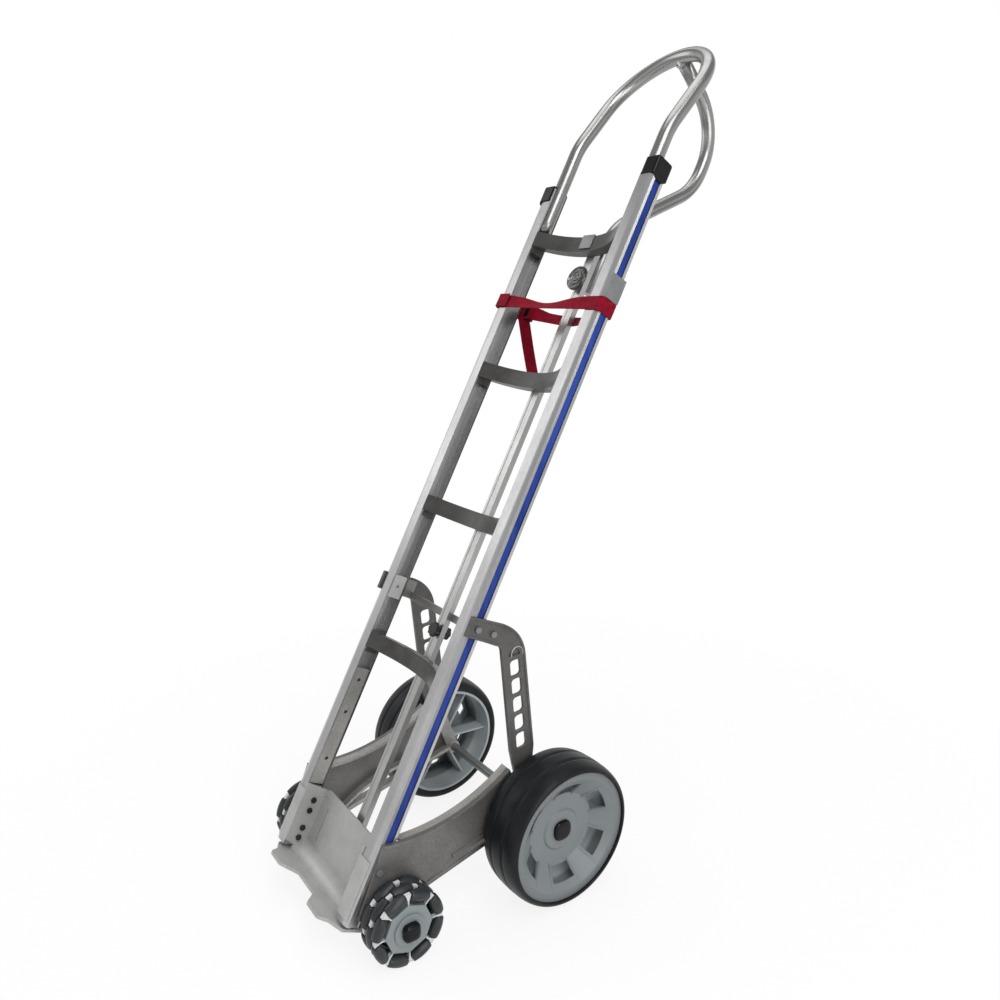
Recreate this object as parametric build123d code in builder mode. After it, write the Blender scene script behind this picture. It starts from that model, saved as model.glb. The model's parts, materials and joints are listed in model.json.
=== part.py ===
# Gas cylinder trolley: a reclined aluminium frame on two rear wheels and two omnidirectional wheels.
# Millimetres, +Z up, +X to the operator's left, +Y towards the handle. Origin under the middle of the box.
# Frame coordinates: x across, v square to the rails towards the rear, s along the rails upward.
from build123d import *
import os
from math import atan2, cos, pi, radians, sin, sqrt, tan

os.makedirs("parts", exist_ok=True)

# Stance and frame
RECLINE = 27.6  # lean of the rails from upright, degrees
FRAME_GAP = 222.0  # clear width between the rails
RAIL_W = 30.0  # rail width across
RAIL_D = 33.0  # rail depth, front to rear
RAIL_FOOT = 76.0
RAIL_TOP = 1364.0
RAIL_FLANGE = 3.4  # wall of the channel's front and rear flange
CHANNEL_DEPTH = 16.2  # depth of the channel that opens inward
RAIL_WEB = 3.0
OUTER_WALL = 3.0
FACE_FLAT = 18.0  # flat part of the rail's front face, before it rounds back
EDGE_DROP = 4.0  # how far the front face rounds back at the outer edge
STRIP_GROOVE = 2.0
STRIP_W = 14.0
STRIP_T = 1.0
STRIP_FOOT = 214.0
SLIP = 0.4  # clearance of a piece that slides into the channel

# Braces, centre bar and hook
BRACE_COUNT = 4
BRACE_PITCH = 265.6
BRACE_LOW_TOP = 478.0  # top of the lowest brace
BRACE_H = 29.0
BRACE_BOW = 35.0
BRACE_D = 19.0
BRACE_WALL = 3.5
POCKET_OUT = 10.0  # how far the pocket's cut runs out behind the brace
BRACE_BLOCK = 26.0  # solid middle of a brace, where the centre bar is fixed
TONGUE_DROP = 10.0  # end tongue below the brace
BAR_W = 21.0
BAR_D = 11.0
BAR_WALL = 3.0
BAR_FOOT = 96.0
HOOK_W = 30.0
HOOK_T = 2.0
HOOK_LIP = 24.0

# Handle
TUBE_R = 12.7
LEG_AXIS = 114.0  # each leg's distance from the middle
LEG_BEND_S = 1438.0  # where the legs bend back
LEG_BEND_R = 150.0
LEG_TILT = 15.0
ARCH_RISE = 74.0  # straight leg above the bend
LOOP_BACK = 222.0  # v of the rear loop's upright run
LOOP_HIGH_S = 1618.0
LOOP_LOW_S = 1485.0
LOOP_FOOT_BEND_S = 1316.0
LOOP_FOOT = 1185.0
LOOP_BEND_R = 110.0
COPE_GAP = 0.3  # room for the weld between the loops
CAP_T = 2.0
CAP_LID = 4.0
CAP_H = 28.0
CAP_SKIRT = 10.0  # how much lower the cap hangs at the middle of its side
CAP_ROUND = 5.0
CAP_BACK_R = 8.0  # rounded top edge at the rear
CAP_SLIDE = 22.0  # how much higher the left cap sits on its handle leg

# Nose
TOE_TOP = 69.0
TOE_T = 5.0
NOSE_V = 40.0  # front face of the nose's back plate
NOSE_T = 5.0
NOSE_TOP = 186.0
NOSE_FLANGE = 4.0
NOSE_CREASE = 22.0  # radius between the back plate and the toe
NOSE_CORNER_R = 16.0
NOSE_HOLE_X = 100.0
NOSE_HOLE_S = 171.0
NOSE_HOLE_R = 4.0
FLANGE_TOP = 190.0  # front corners of the side flanges
FLANGE_FOOT = 86.0
FLANGE_DROP = 8.0  # how much lower the flange's rear corner is
WING_T = 2.0  # wings over the rails' front faces
WING_FOOT = 84.0
WING_TOP = 177.0
WING_X = 137.0
TOE_EDGE_V = 4.0  # front of the toe beside the rails
EAR_V = -25.0  # front of the toe's two ears
SHOULDER_V = -8.3
EAR_IN = 58.0
EAR_OUT = 97.0
EAR_ROUND = 7.0
NOTCH_HALF = 30.0
TOE_HALF = 132.0
TOE_SHOULDER = 108.0
NOSE_SLOT_X = 80.0
NOSE_SLOT_W = 4.0
NOSE_SLOT_LOW = 99.0
NOSE_SLOT_HIGH = 160.0
NOSE_BOLTS_S = (92.0, 110.0, 142.0, 161.0)
NOSE_BOLT_V = 22.0
NOSE_BOSS_W = 26.0
NOSE_BOSS_TOP = 175.0
SMALL_HEAD_R = 5.5
SMALL_HEAD_H = 3.0

# Channel fillers
FILLER_FOOT = 190.0
FILLER_GAP = 31.0  # from the filler's top to the lowest brace's tongue
FILLER_SET = 0.5  # how far the filler lies inside the rail's edge
SPARE_HOLES_S = (237.0, 325.0, 386.0)
SPARE_HOLE_R = 3.5

# Arms, as plates on the rails' outer faces
ARM_T = 5.0
ARM_RIM = 2.0  # raised rim on the arm's outer face
RIM_W = 6.0
UPPER_RIM = 1.5  # the same on the upper arm
UPPER_RIM_W = 4.0
NECK_LEAN = 3.0  # slant of the band's end at the neck
BOSS_STEP = 3.0  # inner boss of the omni axle is smaller by this
ARM_DEEP = 16.0  # how far bosses and flanges reach inward
LOWER_TOP_S = 208.0
LOWER_LOW_S = 90.0
ARM_FRONT_HIGH = 6.0  # v of the lower arm's front edge, top and bottom
ARM_FRONT_LOW = 15.0
LOWER_SAG_Y = 165.0  # lowest point of the lower arm's top edge
LOWER_SAG_Z = 177.0
LOWER_TOP_R = 308.0
LOWER_NECK_Y = 340.0  # where the lower arm's top edge meets the upper arm's foot
BELLY_Y = 225.0
BELLY_Z = 111.5
BELLY_END_Y = 310.0
BELLY_END_Z = 126.0
REAR_BOSS_R = 18.0
OMNI_BOSS_R = 24.0
UPPER_LOW_S = 551.0
UPPER_HIGH_S = 584.0
ELBOW_Y = 367.0
ELBOW_Z = 476.0
ELBOW_R = 75.0
CROOK_Y = 322.0
CROOK_Z = 455.0
CROOK_R = 12.0
LEG_FOOT_Z = 205.0
LEG_LOW_Z = 262.0
LEG_LOW_FRONT_Y = 342.0
LEG_LOW_REAR_Y = 391.0
LEG_FOOT_FRONT_Y = 355.0
LEG_FOOT_REAR_Y = 386.0
WINDOWS = 5
WINDOW_W = 20.0
WINDOW_H = 28.5
WINDOW_ROUND = 6.5
WINDOW_PITCH = 33.5
WINDOW_FIRST_Z = 411.5
DIMPLE_R = 11.5
DIMPLE_Z = 434.0
DIMPLE_DEPTH = 2.5
TIE_T = 5.0
TIE_FOOT = 551.0
TIE_H = 13.0
TAB_H = 34.0
TIE_FRONT = 38.0
BOLT_R = 3.0
BOLT_HOLE = 0.2  # radial clearance of a bolt in its hole
BOLT_HEAD_R = 5.8
BOLT_HEAD_H = 4.0
UPPER_BOLT_S = 567.0
TIE_BOLT_V = 49.0
LOWER_BOLT_S = 169.0
FOOT_BOLT_Y = 369.0
FOOT_BOLT_Z = 226.0
LUG_R = 13.0
LUG_T = 8.0
CLAMP_FOOT = 545.0
CLAMP_H = 42.0

# Rear wheels
WHEEL_R = 127.0
REAR_AXLE_Y = 403.7
TYRE_MID = 196.0
TYRE_W = 89.0
TYRE_H = 21.0  # tread above the seat on the hub
TYRE_SIDE = 8.0  # tread above the side's edge
TYRE_SHOULDER = 14.0
TYRE_CROWN = 2.5
TREAD_FLAT = 15.0  # half of the tread's flat middle
AXLE_R = 7.95
RUN = 0.06  # radial clearance of a running fit
SEAT = 0.05  # clearance of a fixed fit
SLEEVE_R = 14.0
HUB_LIP_X = 235.0
LIP_RISE = 8.0  # lip above the tyre's seat
HUB_LIP_H = 4.0
HUB_WALL = 5.0
HUB_DISC_X = 207.0
HUB_DISC_R = 64.0
HUB_BOSS_R = 37.0
HUB_BOSS_H = 3.0
HUB_CORE_R = 22.0
HUB_INNER_X = 150.6
SPOKES = 6
SPOKE_TURN = -3.5  # first spoke's angle from +Y, degrees
RIB_SPREAD = 12.5
RIB_T = 3.0
RIB_H = 4.0
WINDOW_EDGE = 2.0  # windows start this far outside the disc
WINDOW_L = 29.0
WINDOW_HALF = 15.0
INNER_RIB_X = 168.0
INNER_RIB_T = 4.0
WASHER_R = 14.0
AXLE_CAP_R = 18.0
AXLE_CAP_H = 6.0
CAP_CROWN = 0.7  # flat top of an end cap, as a part of its radius
END_GAP = 0.4  # end float of a wheel

# Omnidirectional wheels
OMNI_R = 62.5
OMNI_AXLE_Y = 116.3
OMNI_MID = 174.0
OMNI_ROWS = 3
ROW_PITCH = 17.0
ROLLERS = 8  # rollers in each row
ROLLER_R = 9.6
ROLLER_GAP = 4.9119  # from a roller's end to the middle line of the tip beside it
ROLLER_FLAT = 5.0  # half of the straight middle of a roller
ROLLER_SIDES = 8
FLOOR_ROLLER_SIDES = 16
ROLLER_PIN_R = 2.5
OCTAGON_DROP = 21.5  # corners of a star's octagon, below the wheel's outer circle
STAR_T = 7.0
TIP_DROP = 3.5
TIP_NECK = 1.0
TIP_NECK_DROP = 14.5
TIP_HALF = 5.0
OMNI_BUSH_R = 10.0
OMNI_AXLE_R = 6.0
OMNI_FACE_R = 26.0
OMNI_FACE_H = 3.0
OMNI_CAP_R = 15.5
OMNI_CAP_H = 11.0

# Clamp knobs on the centre bar
STUD_R = 4.0
UPPER_KNOB_DROP = 76.8  # below the top of the highest brace
UPPER_KNOB_R = 21.5
UPPER_KNOB_V = 35.0
UPPER_KNOB_H = 12.0
LOWER_KNOB_RISE = 50.0  # above the top of the lowest brace
LOWER_KNOB_R = 13.0
LOWER_KNOB_V = 42.0
LOWER_KNOB_H = 9.0
KNOB_NECK_R = 9.0
KNOB_LOBES = 8
KNOB_SCALLOP = 2.5
KNOB_GAP = 0.4
NUT_R = 12.0
NUT_H = 11.0
STUD_HOLE = 0.4

# Strap
STRAP_S = 1127.5
STRAP_DROP = 7.0  # how much lower the strap lies on the left rail
STRAP_W = 25.0
STRAP_T = 1.6
STRAP_GAP = 0.3
STRAP_ROUND = 4.0
TAIL_LENGTH = 130.0
BUCKLE_W = 34.0
BUCKLE_H = 32.0
BUCKLE_T = 2.5
BUCKLE_X = -103.0
CLIP_S = 1138.0
CLIP_H = 42.0
CLIP_T = 1.6
CLIP_REACH = 18.0
CLIP_FRONT = 1.5

# Values worked out from the driving dimensions
lean = radians(RECLINE)
along = Vector(0, sin(lean), cos(lean))
rearward = Vector(0, cos(lean), -sin(lean))
half_gap = FRAME_GAP / 2
rail_out = half_gap + RAIL_W
web_x = half_gap + CHANNEL_DEPTH
rail_mid = RAIL_D / 2
filler_top = BRACE_LOW_TOP - BRACE_H - TONGUE_DROP - FILLER_GAP
block_low = RAIL_FLANGE + SLIP
block_high = RAIL_D - RAIL_FLANGE - SLIP
block_w = CHANNEL_DEPTH - SLIP
bar_front = BRACE_BOW + BRACE_D
bar_rear = bar_front + BAR_D
brace_tops = [BRACE_LOW_TOP + k * BRACE_PITCH for k in range(BRACE_COUNT)]
upper_knob_s = brace_tops[-1] - UPPER_KNOB_DROP
lower_knob_s = BRACE_LOW_TOP + LOWER_KNOB_RISE
bow_radius = (half_gap**2 + BRACE_BOW**2) / (2 * BRACE_BOW)
tilt = radians(LEG_TILT)
arch_v = rail_mid + LEG_BEND_R * (1 - cos(tilt)) + ARCH_RISE * sin(tilt)
arch_s = LEG_BEND_S + LEG_BEND_R * sin(tilt) + ARCH_RISE * cos(tilt)
apex_v = arch_v + LEG_AXIS * sin(tilt)
apex_s = arch_s + LEG_AXIS * cos(tilt)
tail_v = bar_rear + TUBE_R
arm_out = rail_out + ARM_T
roller_axis_r = OMNI_R - ROLLER_R
tip_reach = roller_axis_r * tan(pi / ROLLERS)  # from a roller's middle to the tips' middle lines
roller_half = tip_reach - ROLLER_GAP
octagon_r = OMNI_R - OCTAGON_DROP
tip_r = OMNI_R - TIP_DROP
tip_neck_r = OMNI_R - TIP_NECK_DROP
roller_end_r = sqrt(OMNI_R**2 - roller_half**2) - roller_axis_r  # ends follow the wheel's outer circle
tyre_seat_r = WHEEL_R - TYRE_H
hub_lip_r = tyre_seat_r + LIP_RISE
hub_lip_in = tyre_seat_r - HUB_WALL
window_in = HUB_DISC_R + WINDOW_EDGE
window_out = window_in + WINDOW_L
core_half = ROW_PITCH * (OMNI_ROWS - 1) / 2

# Reach of the trolley along Y: front of the toe's ears, and back of the rear loop's top bend
front_y = (TOE_TOP - TOE_T) * sin(lean) + EAR_V * cos(lean)
into_bend = Vector(LOOP_BACK - apex_v, LOOP_HIGH_S - apex_s)
bend_turn = pi / 2 - atan2(-into_bend.Y, into_bend.X)
bend_s = LOOP_HIGH_S - LOOP_BEND_R * tan(bend_turn / 2)
bend_v = LOOP_BACK - LOOP_BEND_R
rear_y = bend_s * sin(lean) + bend_v * cos(lean) + LOOP_BEND_R + TUBE_R
y_shift = -(front_y + rear_y) / 2


def in_frame(x, v, s):
    """A point given across, rearward and along the rails."""
    return Vector(x, y_shift, 0) + rearward * v + along * s


def side_point(v, s):
    """The same place as a point of an upright plane, before the shift along Y."""
    return (s * sin(lean) + v * cos(lean), s * cos(lean) - v * sin(lean))


def across(s):
    """Plane square to the rails, with local axes x and v."""
    return Plane(origin=in_frame(0, 0, s), x_dir=(1, 0, 0), z_dir=along)


def beside(x):
    """Plane at x, with local axes v and s."""
    return Plane(origin=in_frame(x, 0, 0), x_dir=rearward, z_dir=(1, 0, 0))


def facing(v):
    """Plane at v that faces forward, with local axes x and s."""
    return Plane(origin=in_frame(0, v, 0), x_dir=(1, 0, 0), z_dir=rearward * -1)


def upright(x, y=0.0, z=0.0):
    """Upright plane at x, with local axes y and z."""
    return Plane(origin=(x, y_shift + y, z), x_dir=(0, 1, 0), z_dir=(1, 0, 0))


def turning(y, z):
    """Upright plane through a wheel's axis, with local axes x and radius."""
    return Plane(origin=(0, y_shift + y, z), x_dir=(1, 0, 0), z_dir=(0, -1, 0))


def wheel_axis(y, z):
    return Axis((0, y_shift + y, z), (1, 0, 0))


def keep(part, name):
    part.label = name
    export_step(part, f"parts/{name}.step")


def keep_pair(part, name):
    """Writes a left piece and its mirror image on the right."""
    with BuildPart() as twin:
        mirror(part, about=Plane.YZ)
    keep(part, f"left_{name}")
    keep(twin.part, f"right_{name}")


def bow(x):
    """v of the braces' front face at x."""
    return BRACE_BOW - bow_radius + sqrt(bow_radius**2 - x**2)


# Rails
strip_low = rail_mid - STRIP_W / 2
strip_high = rail_mid + STRIP_W / 2
groove_x = rail_out - STRIP_GROOVE
chamber_low = web_x + RAIL_WEB
chamber_w = groove_x - OUTER_WALL - chamber_low

with BuildPart() as rail:
    with BuildSketch(across(RAIL_FOOT)):
        with BuildLine():
            Line((half_gap, 0), (half_gap + FACE_FLAT, 0))
            TangentArc((half_gap + FACE_FLAT, 0), (rail_out, EDGE_DROP), tangent=(1, 0))
            Polyline(
                (rail_out, EDGE_DROP),
                (rail_out, strip_low),
                (groove_x, strip_low),
                (groove_x, strip_high),
                (rail_out, strip_high),
                (rail_out, RAIL_D - EDGE_DROP),
            )
            TangentArc((half_gap + FACE_FLAT, RAIL_D), (rail_out, RAIL_D - EDGE_DROP), tangent=(1, 0))
            Polyline(
                (half_gap + FACE_FLAT, RAIL_D),
                (half_gap, RAIL_D),
                (half_gap, RAIL_D - RAIL_FLANGE),
                (web_x, RAIL_D - RAIL_FLANGE),
                (web_x, RAIL_FLANGE),
                (half_gap, RAIL_FLANGE),
                (half_gap, 0),
            )
        make_face()
        with Locations((chamber_low + chamber_w / 2, rail_mid)):
            Rectangle(chamber_w, RAIL_D - 2 * EDGE_DROP, mode=Mode.SUBTRACT)
    extrude(amount=RAIL_TOP - RAIL_FOOT)
    with BuildSketch(beside(half_gap)):
        with Locations((rail_mid, UPPER_BOLT_S), (rail_mid, LOWER_BOLT_S)):
            Circle(BOLT_R + BOLT_HOLE)
    extrude(amount=RAIL_W, mode=Mode.SUBTRACT)
    with BuildSketch(beside(half_gap)):
        with Locations(*[(rail_mid, s) for s in SPARE_HOLES_S]):
            Circle(SPARE_HOLE_R)
    extrude(amount=CHANNEL_DEPTH + RAIL_WEB, mode=Mode.SUBTRACT)
keep_pair(rail.part, "rail")

# Plain coloured strip in each rail's outer groove
with BuildPart() as strip:
    with BuildSketch(across(STRIP_FOOT)):
        with Locations((groove_x + STRIP_T / 2, rail_mid)):
            Rectangle(STRIP_T, STRIP_W - 2 * SEAT)
    extrude(amount=RAIL_TOP - CAP_LID - STRIP_FOOT)
    with BuildSketch(beside(groove_x)):
        with Locations((rail_mid, UPPER_BOLT_S)):
            Circle(BOLT_R + BOLT_HOLE)
    extrude(amount=STRIP_T, mode=Mode.SUBTRACT)
keep_pair(strip.part, "rail_strip")

# Curved braces, hollow behind, with end tongues in the rail channels
pocket_end = half_gap - 2 * BRACE_WALL
for number, top in enumerate(reversed(brace_tops), start=1):
    with BuildPart() as brace:
        with BuildSketch(across(top - BRACE_H)):
            with BuildLine():
                ThreePointArc((-half_gap, 0), (0, BRACE_BOW), (half_gap, 0))
                Line((half_gap, 0), (half_gap, BRACE_D))
                ThreePointArc((half_gap, BRACE_D), (0, bar_front), (-half_gap, BRACE_D))
                Line((-half_gap, BRACE_D), (-half_gap, 0))
            make_face()
        extrude(amount=BRACE_H)
        with BuildSketch(across(top - BRACE_H + BRACE_WALL)):
            for hand in (-1, 1):
                ends = (hand * BRACE_BLOCK / 2, hand * pocket_end)
                middle = sum(ends) / 2
                front = [(x, bow(x) + BRACE_WALL) for x in (ends[0], middle, ends[1])]
                back = [(x, bow(x) + BRACE_D + POCKET_OUT) for x in (ends[1], middle, ends[0])]
                with BuildLine():
                    ThreePointArc(*front)
                    Line(front[2], back[0])
                    ThreePointArc(*back)
                    Line(back[2], front[0])
                make_face()
        extrude(amount=BRACE_H - 2 * BRACE_WALL, mode=Mode.SUBTRACT)
        for hand in (-1, 1):
            with BuildSketch(beside(hand * half_gap)):
                with Locations(((block_low + block_high) / 2, top - (BRACE_H + TONGUE_DROP) / 2)):
                    Rectangle(block_high - block_low, BRACE_H + TONGUE_DROP)
            extrude(amount=hand * block_w)
    keep(brace.part, f"brace_{number}")

# Centre bar, an extrusion that is open behind, with a shallow groove in front
bar_top = brace_tops[-1]
with BuildPart() as centre_bar:
    with BuildSketch(across(BAR_FOOT)):
        with Locations((0, bar_front + BAR_D / 2)):
            Rectangle(BAR_W, BAR_D)
        with Locations((0, bar_rear)):
            Rectangle(BAR_W - 2 * BAR_WALL, 2 * (BAR_D - BAR_WALL), mode=Mode.SUBTRACT)
        with Locations((0, bar_front)):
            Rectangle(BAR_W / 2, BAR_WALL / 2, mode=Mode.SUBTRACT)
    extrude(amount=bar_top - BAR_FOOT)
    with BuildSketch(facing(bar_front)):
        with Locations((0, upper_knob_s), (0, lower_knob_s)):
            Circle(STUD_R + STUD_HOLE)
    extrude(amount=-BAR_D, mode=Mode.SUBTRACT)
keep(centre_bar.part, "centre_bar")

# Hook that folds over the top brace and holds the centre bar to it
hook_front = bow(HOOK_W / 2) - SEAT
with BuildPart() as bar_hook:
    with BuildSketch(beside(-HOOK_W / 2)):
        with BuildLine():
            Polyline(
                (hook_front - HOOK_T, bar_top + HOOK_T),
                (bar_rear, bar_top + HOOK_T),
                (bar_rear, bar_top),
                (hook_front, bar_top),
                (hook_front, bar_top - HOOK_LIP),
                (hook_front - HOOK_T, bar_top - HOOK_LIP),
                close=True,
            )
        make_face()
    extrude(amount=HOOK_W)
keep(bar_hook.part, "centre_bar_hook")

# Arched handle: legs in the rail channels, bent back, joined by a half round arch
leg_low = in_frame(LEG_AXIS, rail_mid, bar_top + HOOK_T)
leg_bend = in_frame(LEG_AXIS, rail_mid, LEG_BEND_S)
leg_tilted = in_frame(
    LEG_AXIS, rail_mid + LEG_BEND_R * (1 - cos(tilt)), LEG_BEND_S + LEG_BEND_R * sin(tilt)
)
leg_high = in_frame(LEG_AXIS, arch_v, arch_s)
arch_top = in_frame(0, apex_v, apex_s)


def across_middle(point):
    return Vector(-point.X, point.Y, point.Z)


with BuildPart() as handle_loop:
    with BuildLine() as handle_path:
        Line(leg_low, leg_bend)
        TangentArc(leg_bend, leg_tilted, tangent=along)
        Line(leg_tilted, leg_high)
        ThreePointArc(leg_high, arch_top, across_middle(leg_high))
        Line(across_middle(leg_high), across_middle(leg_tilted))
        TangentArc(across_middle(leg_bend), across_middle(leg_tilted), tangent=along)
        Line(across_middle(leg_bend), across_middle(leg_low))
    with BuildSketch(Plane(origin=leg_low, x_dir=(1, 0, 0), z_dir=along)):
        Circle(TUBE_R)
    sweep(path=handle_path.wires()[0])
keep(handle_loop.part, "handle_loop")

# Rear loop, coped on to the arch and running down behind the centre bar
loop_start = in_frame(0, apex_v, apex_s)
loop_dir = (rearward * into_bend.X + along * into_bend.Y).normalized()
with BuildPart() as rear_loop:
    with BuildLine(beside(0)) as loop_path:
        FilletPolyline(
            (apex_v, apex_s),
            (LOOP_BACK, LOOP_HIGH_S),
            (LOOP_BACK, LOOP_LOW_S),
            (tail_v, LOOP_FOOT_BEND_S),
            (tail_v, LOOP_FOOT),
            radius=LOOP_BEND_R,
        )
    with BuildSketch(Plane(origin=loop_start, x_dir=(1, 0, 0), z_dir=loop_dir)):
        Circle(TUBE_R)
    sweep(path=loop_path.wires()[0])
    with BuildSketch(beside(-2 * TUBE_R)):
        with Locations((apex_v, apex_s)):
            Circle(TUBE_R + COPE_GAP)
    extrude(amount=4 * TUBE_R, mode=Mode.SUBTRACT)
    with BuildSketch(facing(bar_rear)):
        with Locations((0, upper_knob_s)):
            Circle(STUD_R + STUD_HOLE)
    extrude(amount=-2 * TUBE_R, mode=Mode.SUBTRACT)
keep(rear_loop.part, "handle_rear_loop")


# Caps over the rail ends, cut away for the handle legs
def rail_cap(top):
    """Cap on the left rail with its lid at s = top."""
    foot = top - CAP_H
    cap_rear = RAIL_D + CAP_T
    with BuildPart() as cap:
        with BuildSketch(across(foot - CAP_SKIRT)):
            with Locations((half_gap + (RAIL_W + CAP_T) / 2, rail_mid)):
                RectangleRounded(RAIL_W + CAP_T, RAIL_D + 2 * CAP_T, CAP_ROUND)
        extrude(amount=CAP_H + CAP_SKIRT)
        with BuildSketch(beside(half_gap)):
            with BuildLine():
                Line((-CAP_T, foot), (-CAP_T, top))
                Line((-CAP_T, top), (cap_rear - CAP_BACK_R, top))
                RadiusArc((cap_rear - CAP_BACK_R, top), (cap_rear, top - CAP_BACK_R), CAP_BACK_R)
                Line((cap_rear, top - CAP_BACK_R), (cap_rear, foot))
                ThreePointArc((cap_rear, foot), (rail_mid, foot - CAP_SKIRT), (-CAP_T, foot))
            make_face()
        extrude(amount=RAIL_W + CAP_T, mode=Mode.INTERSECT)
        with BuildSketch(across(foot - CAP_SKIRT)):
            with Locations((half_gap + (RAIL_W + SEAT) / 2, rail_mid)):
                Rectangle(RAIL_W + SEAT, RAIL_D + 2 * SEAT)
        extrude(amount=CAP_H + CAP_SKIRT - CAP_LID, mode=Mode.SUBTRACT)
        with BuildSketch(across(foot - CAP_SKIRT)):
            with Locations((LEG_AXIS, rail_mid)):
                Circle(TUBE_R + SLIP)
        extrude(amount=CAP_H + CAP_SKIRT, mode=Mode.SUBTRACT)
    return cap.part


with BuildPart() as right_cap:
    mirror(rail_cap(RAIL_TOP + CAP_LID), about=Plane.YZ)
keep(rail_cap(RAIL_TOP + CAP_LID + CAP_SLIDE), "left_rail_cap")
keep(right_cap.part, "right_rail_cap")

# Nose: back plate, side flanges and toe in one casting
nose_rear = NOSE_V + NOSE_T
toe_low = TOE_TOP - TOE_T
with BuildPart() as nose_plate:
    with BuildSketch(facing(NOSE_V)) as back_plate:
        with Locations((0, (toe_low + NOSE_TOP) / 2)):
            Rectangle(FRAME_GAP, NOSE_TOP - toe_low)
        fillet(back_plate.vertices().group_by(Axis.Y)[-1], radius=NOSE_CORNER_R)
        with Locations((-NOSE_HOLE_X, NOSE_HOLE_S), (NOSE_HOLE_X, NOSE_HOLE_S)):
            Circle(NOSE_HOLE_R, mode=Mode.SUBTRACT)
        with Locations(*[(x, (NOSE_SLOT_LOW + NOSE_SLOT_HIGH) / 2) for x in (-NOSE_SLOT_X, NOSE_SLOT_X)]):
            SlotOverall(NOSE_SLOT_HIGH - NOSE_SLOT_LOW, NOSE_SLOT_W, rotation=90, mode=Mode.SUBTRACT)
    extrude(amount=-NOSE_T)
    with BuildSketch(across(toe_low)) as toe:
        with BuildLine() as toe_edge:
            Polyline(
                (0, nose_rear),
                (TOE_HALF, nose_rear),
                (TOE_HALF, TOE_EDGE_V),
                (TOE_SHOULDER, SHOULDER_V),
                (EAR_OUT, EAR_V),
                (EAR_IN, EAR_V),
                (NOTCH_HALF, 0),
                (0, 0),
            )
            mirror(about=Plane.YZ)
        make_face()
        fillet(toe.vertices().group_by(Axis.Y)[0], radius=EAR_ROUND)
    extrude(amount=TOE_T)
    for hand in (-1, 1):
        with BuildSketch(beside(hand * half_gap)):
            with BuildLine():
                Polyline(
                    (-WING_T, FLANGE_FOOT),
                    (NOSE_V, TOE_TOP),
                    (nose_rear, TOE_TOP),
                    (nose_rear, FLANGE_TOP - FLANGE_DROP),
                    (-WING_T, FLANGE_TOP),
                    close=True,
                )
            make_face()
        extrude(amount=-hand * NOSE_FLANGE)
        flange_in = hand * (half_gap - NOSE_FLANGE)
        flat_end = hand * (half_gap + FACE_FLAT)
        with BuildSketch(across(WING_FOOT)):
            with BuildLine():
                Line((flange_in, -WING_T), (flat_end, -WING_T))
                TangentArc((flat_end, -WING_T), (hand * rail_out, EDGE_DROP - WING_T), tangent=(hand, 0))
                Line((hand * rail_out, EDGE_DROP - WING_T), (hand * rail_out, EDGE_DROP - SEAT))
                TangentArc((flat_end, -SEAT), (hand * rail_out, EDGE_DROP - SEAT), tangent=(hand, 0))
                Line((flat_end, -SEAT), (flange_in, -SEAT))
                Line((flange_in, -SEAT), (flange_in, -WING_T))
            make_face()
            with Locations((hand * (WING_X + RAIL_W / 2), 0)):
                Rectangle(RAIL_W, RAIL_D, mode=Mode.SUBTRACT)
        extrude(amount=WING_TOP - WING_FOOT)
    with BuildSketch(beside(-half_gap)):
        with BuildLine():
            Line((NOSE_V, TOE_TOP), (NOSE_V, TOE_TOP + NOSE_CREASE))
            RadiusArc((NOSE_V, TOE_TOP + NOSE_CREASE), (NOSE_V - NOSE_CREASE, TOE_TOP), -NOSE_CREASE)
            Line((NOSE_V - NOSE_CREASE, TOE_TOP), (NOSE_V, TOE_TOP))
        make_face()
    extrude(amount=FRAME_GAP)
    with BuildSketch(facing(nose_rear)):
        with Locations((0, (BAR_FOOT + NOSE_BOSS_TOP) / 2)):
            Rectangle(NOSE_BOSS_W, NOSE_BOSS_TOP - BAR_FOOT)
    extrude(amount=nose_rear - bar_front)
keep(nose_plate.part, "nose_plate")

with BuildPart() as nose_block:
    with BuildSketch(beside(half_gap)):
        with Locations(((block_low + block_high) / 2, (RAIL_FOOT + NOSE_TOP) / 2)):
            Rectangle(block_high - block_low, NOSE_TOP - RAIL_FOOT)
        with Locations((rail_mid, LOWER_BOLT_S)):
            Circle(BOLT_R + BOLT_HOLE, mode=Mode.SUBTRACT)
    extrude(amount=block_w)
keep_pair(nose_block.part, "nose_block")

with BuildPart() as nose_bolts:
    for hand in (-1, 1):
        with BuildSketch(beside(hand * (half_gap - NOSE_FLANGE))):
            with Locations(*[(NOSE_BOLT_V, s) for s in NOSE_BOLTS_S]):
                RegularPolygon(SMALL_HEAD_R, 6)
        extrude(amount=-hand * SMALL_HEAD_H)
keep(nose_bolts.part, "nose_bolts")

# Filler bars in the lower end of the rail channels, with spare holes
with BuildPart() as filler:
    with BuildSketch(beside(half_gap + FILLER_SET)):
        with Locations(((block_low + block_high) / 2, (FILLER_FOOT + filler_top) / 2)):
            Rectangle(block_high - block_low, filler_top - FILLER_FOOT)
        with Locations(*[(rail_mid, s) for s in SPARE_HOLES_S]):
            Circle(SPARE_HOLE_R, mode=Mode.SUBTRACT)
    extrude(amount=block_w - FILLER_SET)
keep_pair(filler.part, "channel_filler")


# Lower arms: web with raised rims outside, flanges and bosses inside
def lower_top(y):
    """z of the lower arm's top edge."""
    return LOWER_SAG_Z + LOWER_TOP_R - sqrt(LOWER_TOP_R**2 - (y - LOWER_SAG_Y) ** 2)


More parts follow.
